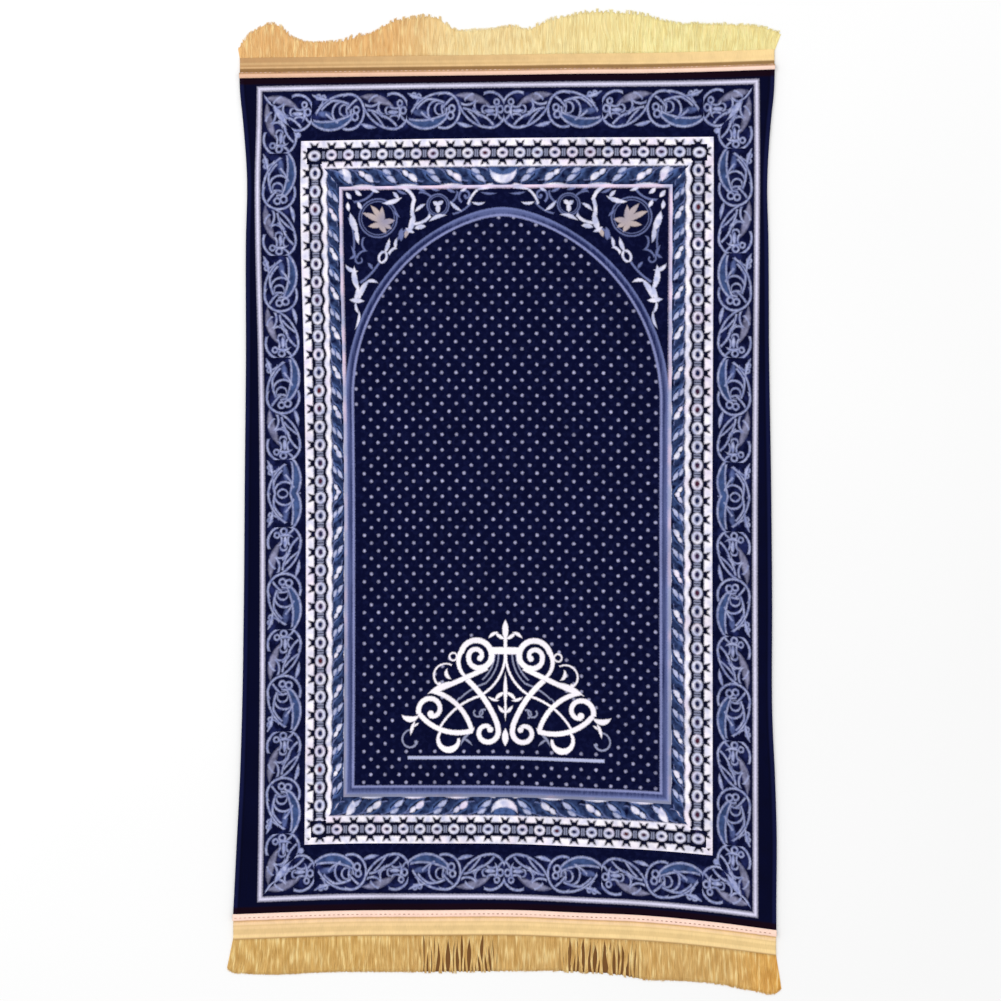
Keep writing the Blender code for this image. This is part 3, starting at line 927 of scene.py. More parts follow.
def print_scroll(shader, place, colours):
    """Scroll border: two cells of rings and leaves, repeated along the sides and ends."""
    u, v, side_inset, end_inset, turned = turned_insets(shader, place)
    end_run = (u + END_MIDDLE_CUT) * (SCROLL_PITCH / END_SCROLL_PITCH)
    run = shader.mixed(turned, v - SIDE_MIDDLE_RUN, end_run) - SCROLL_START
    run = shader.wrapped(run, SCROLL_PITCH) + SCROLL_START
    end_rise = (END_BAND.scroll - end_inset) * END_BAND.scroll_scale
    cell_rise = shader.mixed(turned, SIDE_BAND.scroll - side_inset, end_rise)
    cell = shader.point(run, cell_rise)

    haze = shader.noise(place, 0.075, 2.0) * 2.0 - 0.95
    inside = shader.printed(abs(cell_rise) - SCROLL_HALF, 5.0)
    base = shader.colour(haze * inside, colours.navy, colours.haze)
    leaf_share = shader.noise(place, 0.10, 2.0) * 1.1 + 0.05
    for rows, shift, tone in ((FULL_LEAVES_BLUE, CELL_SMALL, colours.steel),
                              (FULL_LEAVES_PALE, CELL_SMALL, colours.mist),
                              (SMALL_LEAVES_DOVE, 0.0, colours.dove)):
        shape = shader.strokes(cell, rows, None, shift)
        base = shader.lay(base, shape, tone, 3.0, leaf_share)

    lines = None
    for ring, open_from in SCROLL_RINGS:
        lines = shader.least(lines, shader.most(shader.ring(cell, ring), run - open_from))
    lines = shader.strokes(cell, SMALL_LINES, lines)
    lines = shader.strokes(cell, FULL_LINES, lines, CELL_SMALL)
    fold = shader.fold(place)
    lines = shader.least(lines, shader.leaf(fold, CORNER_SPADE))
    lines = shader.least(lines, shader.disc(fold, *CORNER_EYE))
    worn = shader.noise(place, 0.16) * 1.5 - 0.28
    tone = shader.colour(worn, colours.lines, colours.pale_lines)
    base = shader.lay(base, lines, tone, SCROLL_SOFTNESS)
    guard = abs(shader.least(side_inset, end_inset)) - GUARD_HALF_LINE
    return shader.lay(base, guard, colours.guard, GUARD_SOFTNESS)


def notch(shader, across, depth, end, prong):
    """The dark notch that each ring cuts into the white strip beside it."""
    body = shader.most(across - NOTCH_HALF, end - depth)
    return shader.least(body, shader.leaf(shader.point(across, depth), prong))


def print_bands(shader, place, colours):
    """White toothed strips either side of a row of rings, then a band of turning leaves."""
    u, v, side_inset, end_inset, turned = turned_insets(shader, place)
    signed_u, signed_v = shader.parts(place)
    side, end = SIDE_BAND, END_BAND

    def band(name):
        low, high = getattr(side, name), getattr(end, name)
        return low if low == high else turned * (high - low) + low

    depth = shader.mixed(turned, side_inset - side.chain, end_inset - end.chain)
    end_sign = signed_v.math("SIGN")
    end_way = signed_u + end_sign * END_RING_SHIFT
    side_way = v - end_sign * SIDE_RING_SHIFT[0] + SIDE_RING_SHIFT[1]
    way = shader.mixed(turned, side_way / side.ring_pitch + 0.5, end_way / end.ring_pitch)
    phase = shader.wrapped(way + 0.5, 1.0) - 0.5
    across = abs(phase) * band("ring_pitch")

    base = colours.black
    outer = shader.most(band("edge") - depth, depth - band("outer_end"))
    outer = shader.most(outer, -notch(shader, across, depth, OUTER_NOTCH_END, OUTER_PRONG))
    wave = phase.math("MULTIPLY", 2 * math.pi).math("COSINE") * band("wave")
    inner = shader.most(band("inner_start") + wave - depth, depth - band("leaf") - wave * 0.5)
    cut_in = -notch(shader, across, -depth, INNER_NOTCH_END, INNER_PRONG)
    inner = shader.most(inner, cut_in + (turned - 1.0) * FAR_OFF)
    ring = shader.oval(across, depth, band("ring_long"), band("ring_wide"))
    hole = shader.oval(across, depth, band("hole_long"), band("hole_wide"))
    white = shader.least(shader.least(outer, inner), shader.most(ring, -hole))

    from_corner = (u - CORNER_RING[0], v - CORNER_RING[1])
    cut = shader.printed(shader.box(*from_corner, *CORNER_CLEAR), 1.0) * CLEARED
    corner_ring = shader.most(shader.oval(*from_corner, *CORNER_RING_SIZE),
                              -shader.oval(*from_corner, *CORNER_HOLE_SIZE))
    white = shader.least(white + cut, corner_ring)

    gap = abs(across - band("ring_pitch") * 0.5) + cut
    bars = shader.box(gap - band("bar_long") * 0.5, depth, BAR_HALF_LINE, band("bar_wide"))
    base = shader.lay(base, bars, colours.pale_lines, share=0.6)
    red = shader.noise(place, 0.02) * 4.0 - 1.9
    hole_tone = shader.colour(red, colours.frame_dark, colours.wine)
    base = shader.lay(base, hole, hole_tone, share=0.7)

    leaf_way = shader.mixed(turned, v * (LEAF_REPEAT / side.leaf_pitch),
                            u - end_sign * LEAF_END_SHIFT)
    leaf_x = shader.wrapped(leaf_way - LEAF_START, LEAF_REPEAT)
    leaf_depth = LEAF_DEPTH / (side.line - side.leaf)
    leaf_y = shader.mixed(turned, (depth - side.leaf) * leaf_depth, depth - end.leaf)
    leaf = shader.point(leaf_x, leaf_y)
    fold = shader.fold(place)
    clear = shader.disc(fold, *SMILE_CLEAR)
    in_leaf = shader.printed(band("leaf") - depth)
    ground = shader.colour(shader.noise(place, 0.12) * 0.9 - 0.2, colours.navy, colours.steel)
    base = shader.colour(in_leaf, base, ground)
    cloudy = shader.noise(place, 0.22, 2.0) * 1.5 + 0.1
    base = shader.lay(base, shader.strokes(leaf, LEAF_BLUES), colours.steel, 3.0,
                      in_leaf * cloudy)
    for rows, tone, softness, strength in (
            (LEAF_VEINS, colours.black, 2.4, 1.0),
            (LEAF_EDGES, colours.lines, 1.8, cloudy * 0.7),
            (LEAF_DIM, colours.pale_lines, 2.6, cloudy * 0.5 + 0.5)):
        shape = shader.most(shader.strokes(leaf, rows), -clear)
        base = shader.lay(base, shape, tone, softness, in_leaf * strength)
    spots = shader.most(shader.strokes(leaf, LEAF_SPOTS), -clear)
    spots = shader.least(spots, shader.leaf(fold, SMILE))
    spots = shader.least(spots, shader.leaf(fold, CORNER_LEAF))
    spots = shader.most(spots, band("leaf") - depth)
    white = shader.least(white, spots)
    in_chain = shader.printed(abs(depth) - CHAIN_HALF)
    pale = shader.noise(place, 0.09) * 1.5 + in_leaf * 0.3 + in_chain * 0.4 - 0.5
    tone = shader.colour(pale, colours.white, colours.pale_lines)
    blush = shader.noise(place, 0.028).math("MULTIPLY_ADD", 3.0, -1.5, clamp=True)
    tone = shader.colour(blush * 0.5, tone, colours.pink)
    return shader.lay(base, white, tone, BAND_SOFTNESS)


def arch_depth(shader, place):
    """Distance outside the arch: a strip bent round two centres set apart.

    length(length(u + lean * rise, rounding) + apart, rise) - radius, with the rise over
    the spring.
    """
    u, v = shader.parts(place)
    rise = (v - ARCH_SPRING).math("MAXIMUM", 0.0)
    rounded = shader.length(u + rise * ARCH_LEAN, ARCH_TIP_ROUNDING) + ARCH_APART
    return shader.length(rounded, rise) - ARCH_RADIUS


def frame_edge(shader, place):
    """Distance to the frame line, which fills the rim of the niche's zone."""
    u, v = shader.parts(shader.fold(place))
    return -FRAME_LINE - shader.most(u - FRAME_WIDTH, v - FRAME_LENGTH)


def print_niche_top(shader, place, colours):
    """Spandrels with leaves and tendrils, and the dotted field under the arch."""
    depth = arch_depth(shader, place)
    field = dotted(shader, place, lambda middle: arch_depth(shader, middle) + ARCH_CLEAR, colours)
    fold = shader.fold(place)
    tans = shader.strokes(fold, SPANDREL_TANS)
    tan = shader.colour(shader.noise(place, 0.03) * 1.4 + 0.1, colours.mist, colours.tan)
    field = shader.lay(field, tans, tan, share=0.95)
    thin = shader.strokes(fold, SPANDREL_THIN)
    field = shader.lay(field, thin, colours.lines, 2.2, 0.8)
    lines = shader.strokes(fold, SPANDREL_LINES)
    worn = shader.noise(place, 0.09) * 1.4
    tone = shader.colour(worn, colours.white, colours.pale_lines)
    field = shader.lay(field, lines, tone)
    _, v = shader.parts(place)
    crown = (v - CROWN_FROM).math("MULTIPLY", 1 / CROWN_DEEP, clamp=True)
    flank = (v - FLANK_FROM).math("MULTIPLY", 1 / FLANK_DEEP, clamp=True)
    narrower = (flank - crown) * FLANK_NARROWER + 1.0
    filled = crown - (flank - crown) * 0.4
    return frame_stripes(shader, place, depth * -narrower, filled, field, colours)


def frame_stripes(shader, place, depth, crown, base, colours):
    """The strips round the field, their depth counted inwards from the niche's outline.

    crown fills the dark middle strip with its lighter tone, wholly at 1, and below 0 keeps it
    darker.
    """
    streaks = shader.noise(shader.vector("MULTIPLY", place, (1.0, 0.06, 1.0)), 0.25, 2.0)
    filled = streaks * 1.2 - 0.35 + crown + shader.printed(depth - STRIP_RIM, 3.0) * 0.6
    band = shader.colour(filled, colours.frame_dark, colours.frame)
    base = shader.lay(base, shader.between(depth, *NICHE_STRIP), band)
    outer, inner = (shader.between(depth, *edges) for edges in (NICHE_OUTER_LINE, NICHE_INNER_LINE))
    base = shader.lay(base, outer, colours.lines, 2.2, 0.6)
    base = shader.lay(base, inner, colours.frame_light, 2.2, 0.9)
    _, v = shader.parts(place)
    warm = shader.noise(place, 0.04) * 2.2 - 0.85 + v * EDGE_WARMER
    edge = shader.colour(warm, colours.pale_lines, colours.pink)
    return shader.lay(base, frame_edge(shader, place), edge, 3.0, v * EDGE_BRIGHTER + EDGE_SHARE)


def print_field(shader, place, colours):
    """The dotted field between the straight sides of the niche."""
    u, v = shader.parts(place)
    depth = shader.least(NICHE_WIDTH - abs(u), v - NICHE_FOOT)

    def outside_field(middle):
        x, y = shader.parts(middle)
        return DOT_CLEAR - shader.least(NICHE_WIDTH - abs(x), y - NICHE_FOOT)

    field = dotted(shader, place, outside_field, colours)
    return frame_stripes(shader, place, depth, 0.15, field, colours)


def print_ornament(shader, place, colours):
    """White scrollwork like wrought iron, over a straight base line, mirrored."""
    u, v = shader.parts(place)
    x = abs(u - ORNAMENT_MIDDLE) * ORNAMENT_SQUEEZE
    y = v - ORNAMENT_BASE
    mirrored = shader.point(x, y)

    def outside_ornament(middle):
        u, v = shader.parts(middle)
        across, up = u - ORNAMENT_MIDDLE, v - ORNAMENT_BASE
        clear = shader.disc(shader.point(across, up), *ORNAMENT_DISC)
        for half_width, rise, half_height in ORNAMENT_BOXES:
            clear = shader.least(clear, shader.box(across, up - rise, half_width, half_height))
        return -clear

    field = dotted(shader, place, outside_ornament, colours)

    dim = shader.strokes(mirrored, ORNAMENT_DIM)
    field = shader.lay(field, dim, colours.pale_lines, share=0.6)
    field = shader.lay(field, shader.box(x, y, *BASE_LINE), colours.pale_lines)
    lines = shader.strokes(mirrored, ORNAMENT_STROKES)
    for rise, half_width, half_height in ORNAMENT_BARS:
        lines = shader.least(lines, shader.box(x, y - rise, half_width, half_height))
    return shader.lay(field, lines, colours.white)


def print_margin(shader, place, colours):
    """Plain pile past the guard line: a rolled hem at the sides with painted shade in the groove
    beside it, and a dark strip at the lips.
    """
    from_side = shader.kept("from_side")
    from_lip = shader.kept("from_lip")
    worn = shader.noise(place, 0.05, 3.0) * 0.9
    ground = shader.colour(worn, colours.black, colours.navy)
    ground = shader.lay(ground, from_side - HEM_EDGE, colours.hem, 2.4, 0.9)
    # Painted shade in the groove beside the hem.
    ground = shader.lay(ground, shader.between(from_side, *HEM_GROOVE), colours.black, 1.6, 0.8)
    ground = shader.lay(ground, from_lip - LIP_STRIP, colours.maroon, 2.5, 0.85)
    _, _, side_inset, end_inset, _ = turned_insets(shader, place)
    guard = -GUARD_HALF_LINE - shader.least(side_inset, end_inset)
    return shader.lay(ground, guard, colours.guard, GUARD_SOFTNESS)


def print_backing(shader, place, colours):
    return shader.colour(shader.noise(place, 0.2), colours.hem, colours.black)


PRINTS = (
    ("rug_margin", print_margin),
    ("rug_scroll", print_scroll),
    ("rug_bands", print_bands),
    ("rug_niche_top", print_niche_top),
    ("rug_field", print_field),
    ("rug_ornament", print_ornament),
    ("rug_backing", print_backing),
)
BACKING = len(PRINTS) - 1


def pile_material(name, print_zone, colours):
    """Turn a print into worn pile: mottled, rough and a little raised."""
    shader = Shader(name)
    shade = print_zone(shader, flat_place(shader), colours)
    place = shader.object_place()
    mottle = shader.noise(place, 16.0, 3.0, flat=False)
    nap = shader.noise(place, 640.0, 1.0, flat=False)
    worn = mottle * 0.5 + nap * 0.22 + 0.64
    shade = shader.colour(1.0, shade, worn, "MULTIPLY")
    if print_zone not in (print_margin, print_backing):
        bloom = shader.noise(place, 170.0, 2.0, flat=False) * 0.5 - 0.23
        shade = shader.colour(bloom, shade, colours.haze, "LIGHTEN")
    return shader.finish(shade, nap * 0.12 + 0.82, (0.4, nap), sheen=0.02, gloss=0.03)


# ---------------------------------------------------------------- meshes

def grid_faces(rows, columns, first=0, flipped=False):
    """Four-sided faces of a grid of vertices numbered row by row."""
    corner = np.arange((rows - 1) * columns).reshape(rows - 1, columns)[:, :-1].ravel() + first
    order = (0, columns, columns + 1, 1) if flipped else (0, 1, columns + 1, columns)
    return np.stack([corner + step for step in order], axis=1)


def tube_faces(sections, sides):
    """Four-sided faces that join each section of a tube to the next, without its ends."""
    ring = np.arange(sides)
    first = (np.arange(sections - 1) * sides)[:, None]
    start = first + ring
    after = first + (ring + 1) % sides
    return np.stack([start, after, after + sides, start + sides], axis=-1).reshape(-1, 4)


def new_object(name, points, faces, materials):
    """Make a mesh object from arrays. faces is a list of arrays, one for each face size."""
    mesh = bpy.data.meshes.new(name)
    sizes = np.concatenate([np.full(len(part), part.shape[1]) for part in faces])
    corners = np.concatenate([part.ravel() for part in faces])
    starts = np.concatenate([[0], np.cumsum(sizes)[:-1]])
    mesh.vertices.add(len(points))
    mesh.vertices.foreach_set("co", np.ascontiguousarray(points, dtype=np.float32).ravel())
    mesh.loops.add(len(corners))
    mesh.loops.foreach_set("vertex_index", corners.astype(np.int32))
    mesh.polygons.add(len(sizes))
    mesh.polygons.foreach_set("loop_start", starts.astype(np.int32))
    mesh.polygons.foreach_set("loop_total", sizes.astype(np.int32))
    for material in materials:
        mesh.materials.append(material)
    mesh.update(calc_edges=True)
    mesh.validate()
    mesh.polygons.foreach_set("use_smooth", np.ones(len(sizes), dtype=bool))
    piece = bpy.data.objects.new(name, mesh)
    bpy.context.scene.collection.objects.link(piece)
    return piece


def add_uv(piece, name, per_corner):
    """Give a piece a UV map from one pair of numbers for each corner of its faces."""
    layer = piece.data.uv_layers.new(name=name)
    layer.data.foreach_set("uv", np.ascontiguousarray(per_corner, dtype=np.float32).ravel())


def add_numbers(piece, name, per_vertex):
    """Keep one number for each vertex, which a shader can read by its name."""
    attribute = piece.data.attributes.new(name, "FLOAT", "POINT")
    attribute.data.foreach_set("value", np.ascontiguousarray(per_vertex, dtype=np.float32))


def guarded_x(share, down):
    """X of a share of the printed width, from 0 at the left guard line to 1 at the right."""
    left, right = SIDES["guard_left"](down), SIDES["guard_right"](down)
    passed = np.clip((down - DRAWN_FROM) / (DRAWN_TO - DRAWN_FROM), 0, 1)
    drawn = DRAWN["niche"](share) * (1 - passed) + DRAWN["foot"](share) * passed
    return (left + right) * share - left + drawn * MM


def cloth_grid(sizes):
    """Places of the cloth's grid, its flat place in millimetres and its edge distances.

    Columns and rows inside the guard line follow the print; those outside it keep a fixed
    distance from the cloth's own edge. X and Y depend on each other a little, so both are
    worked out in a few passes.
    """
    step = sizes.grid_step / MM
    flat_u = spaced(ZONE_COLUMNS, step)
    flat_v = spaced(ZONE_ROWS, step)
    hem = np.array(HEM_COLUMNS) * MM
    lap = np.array(LAP_ROWS) * MM
    columns = len(flat_u) + 2 * len(hem)
    rows = len(flat_v) + 2 * len(lap)
    inner = slice(len(hem), columns - len(hem))
    level = slice(len(lap), rows - len(lap))
    y = np.broadcast_to(np.linspace(-HALF_LENGTH, HALF_LENGTH, rows)[:, None], (rows, columns))
    for _ in range(PLACING_PASSES):
        down = HALF_LENGTH - y
        x = np.zeros((rows, columns))
        share = (flat_u / GUARD_WIDTH + 1) / 2
        x[:, inner] = guarded_x(share[None, :], down[:, inner])
        x[:, :len(hem)] = -SIDES["left"](down[:, :len(hem)]) + hem
        x[:, columns - len(hem):] = SIDES["right"](down[:, columns - len(hem):]) - hem[::-1]
        y = np.zeros((rows, columns))
        high = end_distance("niche", x, -ENDS["niche_guard"](x))
        low = -end_distance("foot", x, -ENDS["foot_guard"](x))
        up = (flat_v[:, None] / GUARD_LENGTH + 1) / 2
        y[level] = low[level] + (high[level] - low[level]) * up
        y[:len(lap)] = -end_distance("foot", x[:len(lap)]) - lap[:, None]
        y[rows - len(lap):] = end_distance("niche", x[rows - len(lap):]) + lap[::-1, None]
    down = HALF_LENGTH - y
    u = np.zeros((rows, columns))
    v = np.zeros((rows, columns))
    u[:, inner] = flat_u
    v[level] = flat_v[:, None]
    left_over = (-guarded_x(0.0, down) - x) / MM
    right_over = (x - guarded_x(1.0, down)) / MM
    u[:, :len(hem)] = -GUARD_WIDTH - np.abs(left_over[:, :len(hem)])
    u[:, columns - len(hem):] = GUARD_WIDTH + right_over[:, columns - len(hem):]
    v[:len(lap)] = -GUARD_LENGTH - (low[:len(lap)] - y[:len(lap)]) / MM
    v[rows - len(lap):] = GUARD_LENGTH + (y[rows - len(lap):] - high[rows - len(lap):]) / MM
    from_side = np.minimum(x + SIDES["left"](down), SIDES["right"](down) - x) / MM
    from_lip = np.minimum(end_distance("niche", x) - y, end_distance("foot", x) + y) / MM
    return x, y, u, v, from_side, from_lip


def spaced(marks, step):
    """Marks and their mirror images, filled in evenly to steps no longer than one step."""
    marks = np.unique(np.concatenate([np.array(marks), -np.array(marks)]))
    parts = [np.linspace(low, high, int(np.ceil((high - low) / step)) + 1)[:-1]
             for low, high in zip(marks[:-1], marks[1:])]
    return np.concatenate(parts + [marks[-1:]])


def cloth_heights(x, y, from_side, from_lip, sizes):
    """Heights of the pile and of the underside: a rolled hem, then a slight lie of the cloth.

    The lie is the mean of slow waves, sin(a * x + b * y + start), faded out towards every edge.
    """
    from_rim = np.minimum(from_side, from_lip + LAP / MM)
    shoulder = np.interp(from_rim, *SHOULDER) * MM
    hem = np.interp(from_side, *HEM_PROFILE)
    fade = np.clip((np.minimum(from_side, from_lip) - LIE_FROM) / LIE_DEEP, 0, 1)
    waves = [np.sin(x * wave.along_x + y * wave.along_y + wave.start) for wave in LIE_WAVES]
    lie = sum(waves) / len(waves)
    top = shoulder + hem * sizes.hem_rise * (from_lip > 0) + lie * fade * sizes.lie
    under = np.interp(from_rim, *UNDERCUT) * MM
    return top, under


def build_cloth(sizes, colours):
    """The pile cloth: a closed sheet whose faces take the material of their printed zone.

    Zones are numbered as in PRINTS.
    """
    x, y, u, v, from_side, from_lip = cloth_grid(sizes)
    top, under = cloth_heights(x, y, from_side, from_lip, sizes)
    rows, columns = x.shape
    count = rows * columns
    x = x + SHIFT_X
    y = y + SHIFT_Y
    points = np.concatenate([np.stack([x, y, height], axis=-1).reshape(-1, 3)
                             for height in (top, under)])
    upper = grid_faces(rows, columns)
    lower = grid_faces(rows, columns, count, flipped=True)
    numbers = np.arange(count).reshape(rows, columns)
    edge = np.concatenate([numbers[0, :-1], numbers[:-1, -1], numbers[-1, :0:-1],
                           numbers[:0:-1, 0]])
    after = np.roll(edge, -1)
    rim = np.stack([edge + count, after + count, after, edge], axis=1)
    faces = [np.concatenate([upper, lower, rim])]

    prints = [pile_material(name, print_zone, colours) for name, print_zone in PRINTS]
    cloth = new_object("pile_cloth_rug", points, faces, prints)
    flat = np.stack([u, v], axis=-1).reshape(-1, 2)
    centre = np.abs(flat[upper].mean(axis=1))
    signed = flat[upper].mean(axis=1)[:, 1]
    zone = np.zeros(len(upper), dtype=np.int32)
    zone[(centre[:, 0] < ZONE_COLUMNS[0]) & (centre[:, 1] < ZONE_ROWS[0])] = 1
    zone[(centre[:, 0] < ZONE_COLUMNS[1]) & (centre[:, 1] < ZONE_ROWS[1])] = 2
    niche = (centre[:, 0] < FRAME_WIDTH) & (centre[:, 1] < FRAME_LENGTH)
    zone[niche] = np.where(signed[niche] > SPANDREL_FOOT, 3, 4)
    zone[niche & (centre[:, 0] < ORNAMENT_WIDTH) & (signed > ORNAMENT_ROWS[0])
         & (signed < ORNAMENT_ROWS[1])] = 5
    indices = np.concatenate([zone, np.full(len(lower), BACKING), np.zeros(len(rim))])
    cloth.data.polygons.foreach_set("material_index", indices.astype(np.int32))

    corners = faces[0].ravel() % count
    add_uv(cloth, "flat_cloth", flat[corners] * MM)
    low = np.array((x.min(), y.min()))
    size = np.array((x.max(), y.max())) - low
    share = (np.stack([x, y], axis=-1).reshape(-1, 2) - low) / size
    baked = share[corners]
    split_at = 4 * len(upper)
    baked[:split_at, 1] = BAKE_PILE + (1 - BAKE_PILE) * baked[:split_at, 1]
    split_to = split_at + 4 * len(lower)
    baked[split_at:split_to, 1] *= BAKE_UNDER
    way = np.arange(len(rim)) / len(rim)
    after_way = way + BAKE_RIM_FILL / len(rim)
    strip = np.stack([way, after_way, after_way, way], axis=1).ravel()
    tall = np.tile(np.repeat(BAKE_RIM, 2), len(rim))
    baked[split_to:] = np.stack([strip, tall], axis=-1)
    add_uv(cloth, "OFBake", baked)
    add_numbers(cloth, "from_side", np.tile(from_side.ravel(), 2))
    add_numbers(cloth, "from_lip", np.tile(from_lip.ravel(), 2))
    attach(cloth, BODY)
    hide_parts(CLOTH_NODE)


def signed_volume(points, quads):
    """Six times the volume that faces enclose: positive where they look outwards."""
    a, b, c, d = (points[quads[:, k]] for k in range(4))
    first = np.einsum("ij,ij->i", a, np.cross(b, c))
    second = np.einsum("ij,ij->i", a, np.cross(c, d))
    return float((first + second).sum())


def swept(name, sections, material):
    """Join sections of shape (stations, sides, 3) into a closed tube with flat ends."""
    stations, sides, _ = sections.shape
    points = sections.reshape(-1, 3)
    quads = tube_faces(stations, sides)
    near = np.arange(sides)[::-1][None, :]
    far = (np.arange(sides) + (stations - 1) * sides)[None, :]
    if signed_volume(points, quads) < 0:
        quads, near, far = quads[:, ::-1], near[:, ::-1], far[:, ::-1]
    return new_object(name, points, [quads, near, far], [material])


def trim_ends(trim):
    """X of the left and right end of a trim, where the cloth's side edges reach its end."""
    down = -LAP if trim.side > 0 else CLOTH_LENGTH + LAP
    return -float(SIDES["left"](down)), float(SIDES["right"](down))


def on_trim(trim, x, past):
    """Y in the frame of a place so far past the lip's inner edge."""
    return trim.side * end_distance(trim.name, x, past) + SHIFT_Y


def finish_trim(piece, trim):
    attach(piece, BODY)
    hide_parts(trim.node)


def trim_uv(piece, trim):
    """Map a trim by x along it and by the distance past the lip's inner edge."""
    mesh = piece.data
    points = np.empty(len(mesh.vertices) * 3, dtype=np.float32)
    mesh.vertices.foreach_get("co", points)
    points = points.reshape(-1, 3)
    corners = np.empty(len(mesh.loops), dtype=np.int32)
    mesh.loops.foreach_get("vertex_index", corners)
    x = points[:, 0] - SHIFT_X
    past = trim.side * (points[:, 1] - SHIFT_Y) - end_distance(trim.name, x)
    add_uv(piece, "trim", np.stack([x, past], axis=-1)[corners])


def trim_shader(name, left, right):
    """Begin a trim's material: its place in millimetres and its ground colour."""
    shader = Shader(name)
    flat = shader.node("UVMap", {"uv_map": "trim"})
    place = shader.vector("MULTIPLY", flat, (1 / MM, 1 / MM, 0.0))
    x, past = shader.parts(place)
    share = x.math("MULTIPLY_ADD", 1 / (2 * GUARD_WIDTH), 0.5, clamp=True)
    ground = shader.colour(share, left, right)
    return shader, place, past, ground


def trim_tones(shader, trim, off, shade):
    """Lay a trim's stripes over its ground, by the distance past the lip's inner edge: woven
    stripes, and painted shade by the lip's groove and along the tape's outer edge.
    """
    for tone in trim.tones:
        stripe = shader.between(off, tone.start, tone.stop)
        shade = shader.lay(shade, stripe, paint(*tone.shade), 1.6, tone.share)
    return shade


def close_trim(shader, place, shade, worn_by):
    """Finish a trim's material with fine ribs and cloudy wear."""
    ribs = shader.noise(shader.vector("MULTIPLY", place, (1.2, 0.12, 0.0)), 1.0, 2.0)
    cloud = shader.noise(place, 0.06, 2.0)
    worn = ribs * worn_by + cloud * worn_by + (1.0 - worn_by)
    shade = shader.colour(1.0, shade, worn, "MULTIPLY")
    return shader.finish(shade, ribs * 0.15 + 0.5, (0.5, ribs), sheen=0.15, gloss=0.35)


def woven_band(kind, trim, across, past, height, tones, worn_by):
    """Sweep a lip or a tape along its end and give it its stripes."""
    name = f"{kind}_{trim.name}"
    shader, place, off, shade = trim_shader(name, *tones)
    shade = trim_tones(shader, trim, off, shade)
    sections = np.stack([across + SHIFT_X, on_trim(trim, across, past), height], axis=-1)
    band = swept(name, sections, close_trim(shader, place, shade, worn_by))
    trim_uv(band, trim)
    finish_trim(band, trim)


def build_lip(trim, sizes, colours):
    """A rolled lip: half an ellipse over the cloth's end, its outer flank a little stepped.

    Across it, past = width / 2 * (1 - cos a) and height = base + rise * sin a.
    """
    left, right = trim_ends(trim)
    x = np.linspace(left, right, sizes.trim_stations)
    base = CLOTH_THICKNESS + TOUCH_GAP
    turns = np.linspace(0, np.pi, LIP_TURNS)
    rng = np.random.default_rng(trim.seed)
    steps = np.repeat(rng.uniform(-1, 1, len(x) // LIP_STEP + 1), LIP_STEP)[:len(x)]
    width = trim.lip + steps * trim.lip_stray
    past = width[:, None] / 2 * (1 - np.cos(turns))
    height = np.broadcast_to(base + sizes.lip_rise * np.sin(turns), past.shape)
    wall = LAP + TOUCH_GAP
    back = np.array([(0.0, LIP_FOOT), (wall, LIP_FOOT), (wall, base)])
    under = np.broadcast_to(back[:, 0], (len(x), 3)).copy()
    under[:, 0] = width
    past = np.concatenate([past, under], axis=1)
    height = np.concatenate([height, np.broadcast_to(back[:, 1], (len(x), 3))], axis=1)
    across = np.broadcast_to(x[:, None], past.shape)
    tones = (getattr(colours, trim.lip_left), colours.lip)
    woven_band("lip", trim, across, past, height, tones, 0.16)


def build_tape(trim, sizes, colours):
    """A flat woven tape: one outline, swept along the end, with the ridges of its table."""
    left, right = trim_ends(trim)
    x = np.linspace(left + TAPE_INSET, right - TAPE_INSET, sizes.trim_stations)
    places = [ridge.past for ridge in trim.ridges]
    heights = [ridge.height for ridge in trim.ridges]
    past = np.linspace(places[0], places[-1], TAPE_POINTS)
    top = np.interp(past, places, heights)
    wall = LAP + TOUCH_GAP
    outline_past = np.concatenate([past, (trim.tape, trim.tape - TAPE_SLANT, wall, wall)])
    closing = (TAPE_EDGE, TOUCH_GAP, TOUCH_GAP, LIP_FOOT - TOUCH_GAP)
    outline_top = np.concatenate([top * MM, closing])
    across, past = np.meshgrid(x, outline_past, indexing="ij")
    height = np.broadcast_to(outline_top, past.shape)
    tones = (getattr(colours, trim.tape_left), colours.tape)
    woven_band("tape", trim, across, past, height, tones, 0.22)


def build_seam(trim, sizes, colours):
    """A row of short stitches on the lip: slim spindles, all the same, along its length."""
    left, right = trim_ends(trim)
    middles = np.arange(left + STITCH_CLEAR, right - STITCH_CLEAR, sizes.stitch_pitch)
    shares = np.linspace(-1, 1, 5)
    girth = np.sqrt(np.clip(STITCH_BLUNT - shares ** 2, 0, 1)) * sizes.stitch_width / 2
    turns = np.linspace(0, 2 * np.pi, 6, endpoint=False)
    turn = np.arccos(1 - 2 * trim.stitches_at / trim.lip)
    height = CLOTH_THICKNESS + TOUCH_GAP + sizes.lip_rise * np.sin(turn)
    x = middles[:, None, None] + (shares * sizes.stitch_length / 2)[None, :, None]
    x = np.broadcast_to(x, (len(middles), len(shares), len(turns)))
    past = trim.stitches_at + girth[None, :, None] * np.cos(turns)
    z = height + girth[None, :, None] * np.sin(turns) * STITCH_FLAT
    points = np.stack([x + SHIFT_X, on_trim(trim, x, past), np.broadcast_to(z, x.shape)], -1)
    stitches = many_tubes(f"stitches_{trim.name}", points, [stitch_material(trim, colours)])
    finish_trim(stitches, trim)


def stitch_material(trim, colours):
    shader = Shader(f"stitches_{trim.name}")
    place = shader.object_place()
    shade = shader.colour(shader.noise(place, 60.0, flat=False) * 1.8 - 0.5,
                          colours.stitch, colours.lip)
    return shader.finish(shade, 0.6, gloss=0.5)


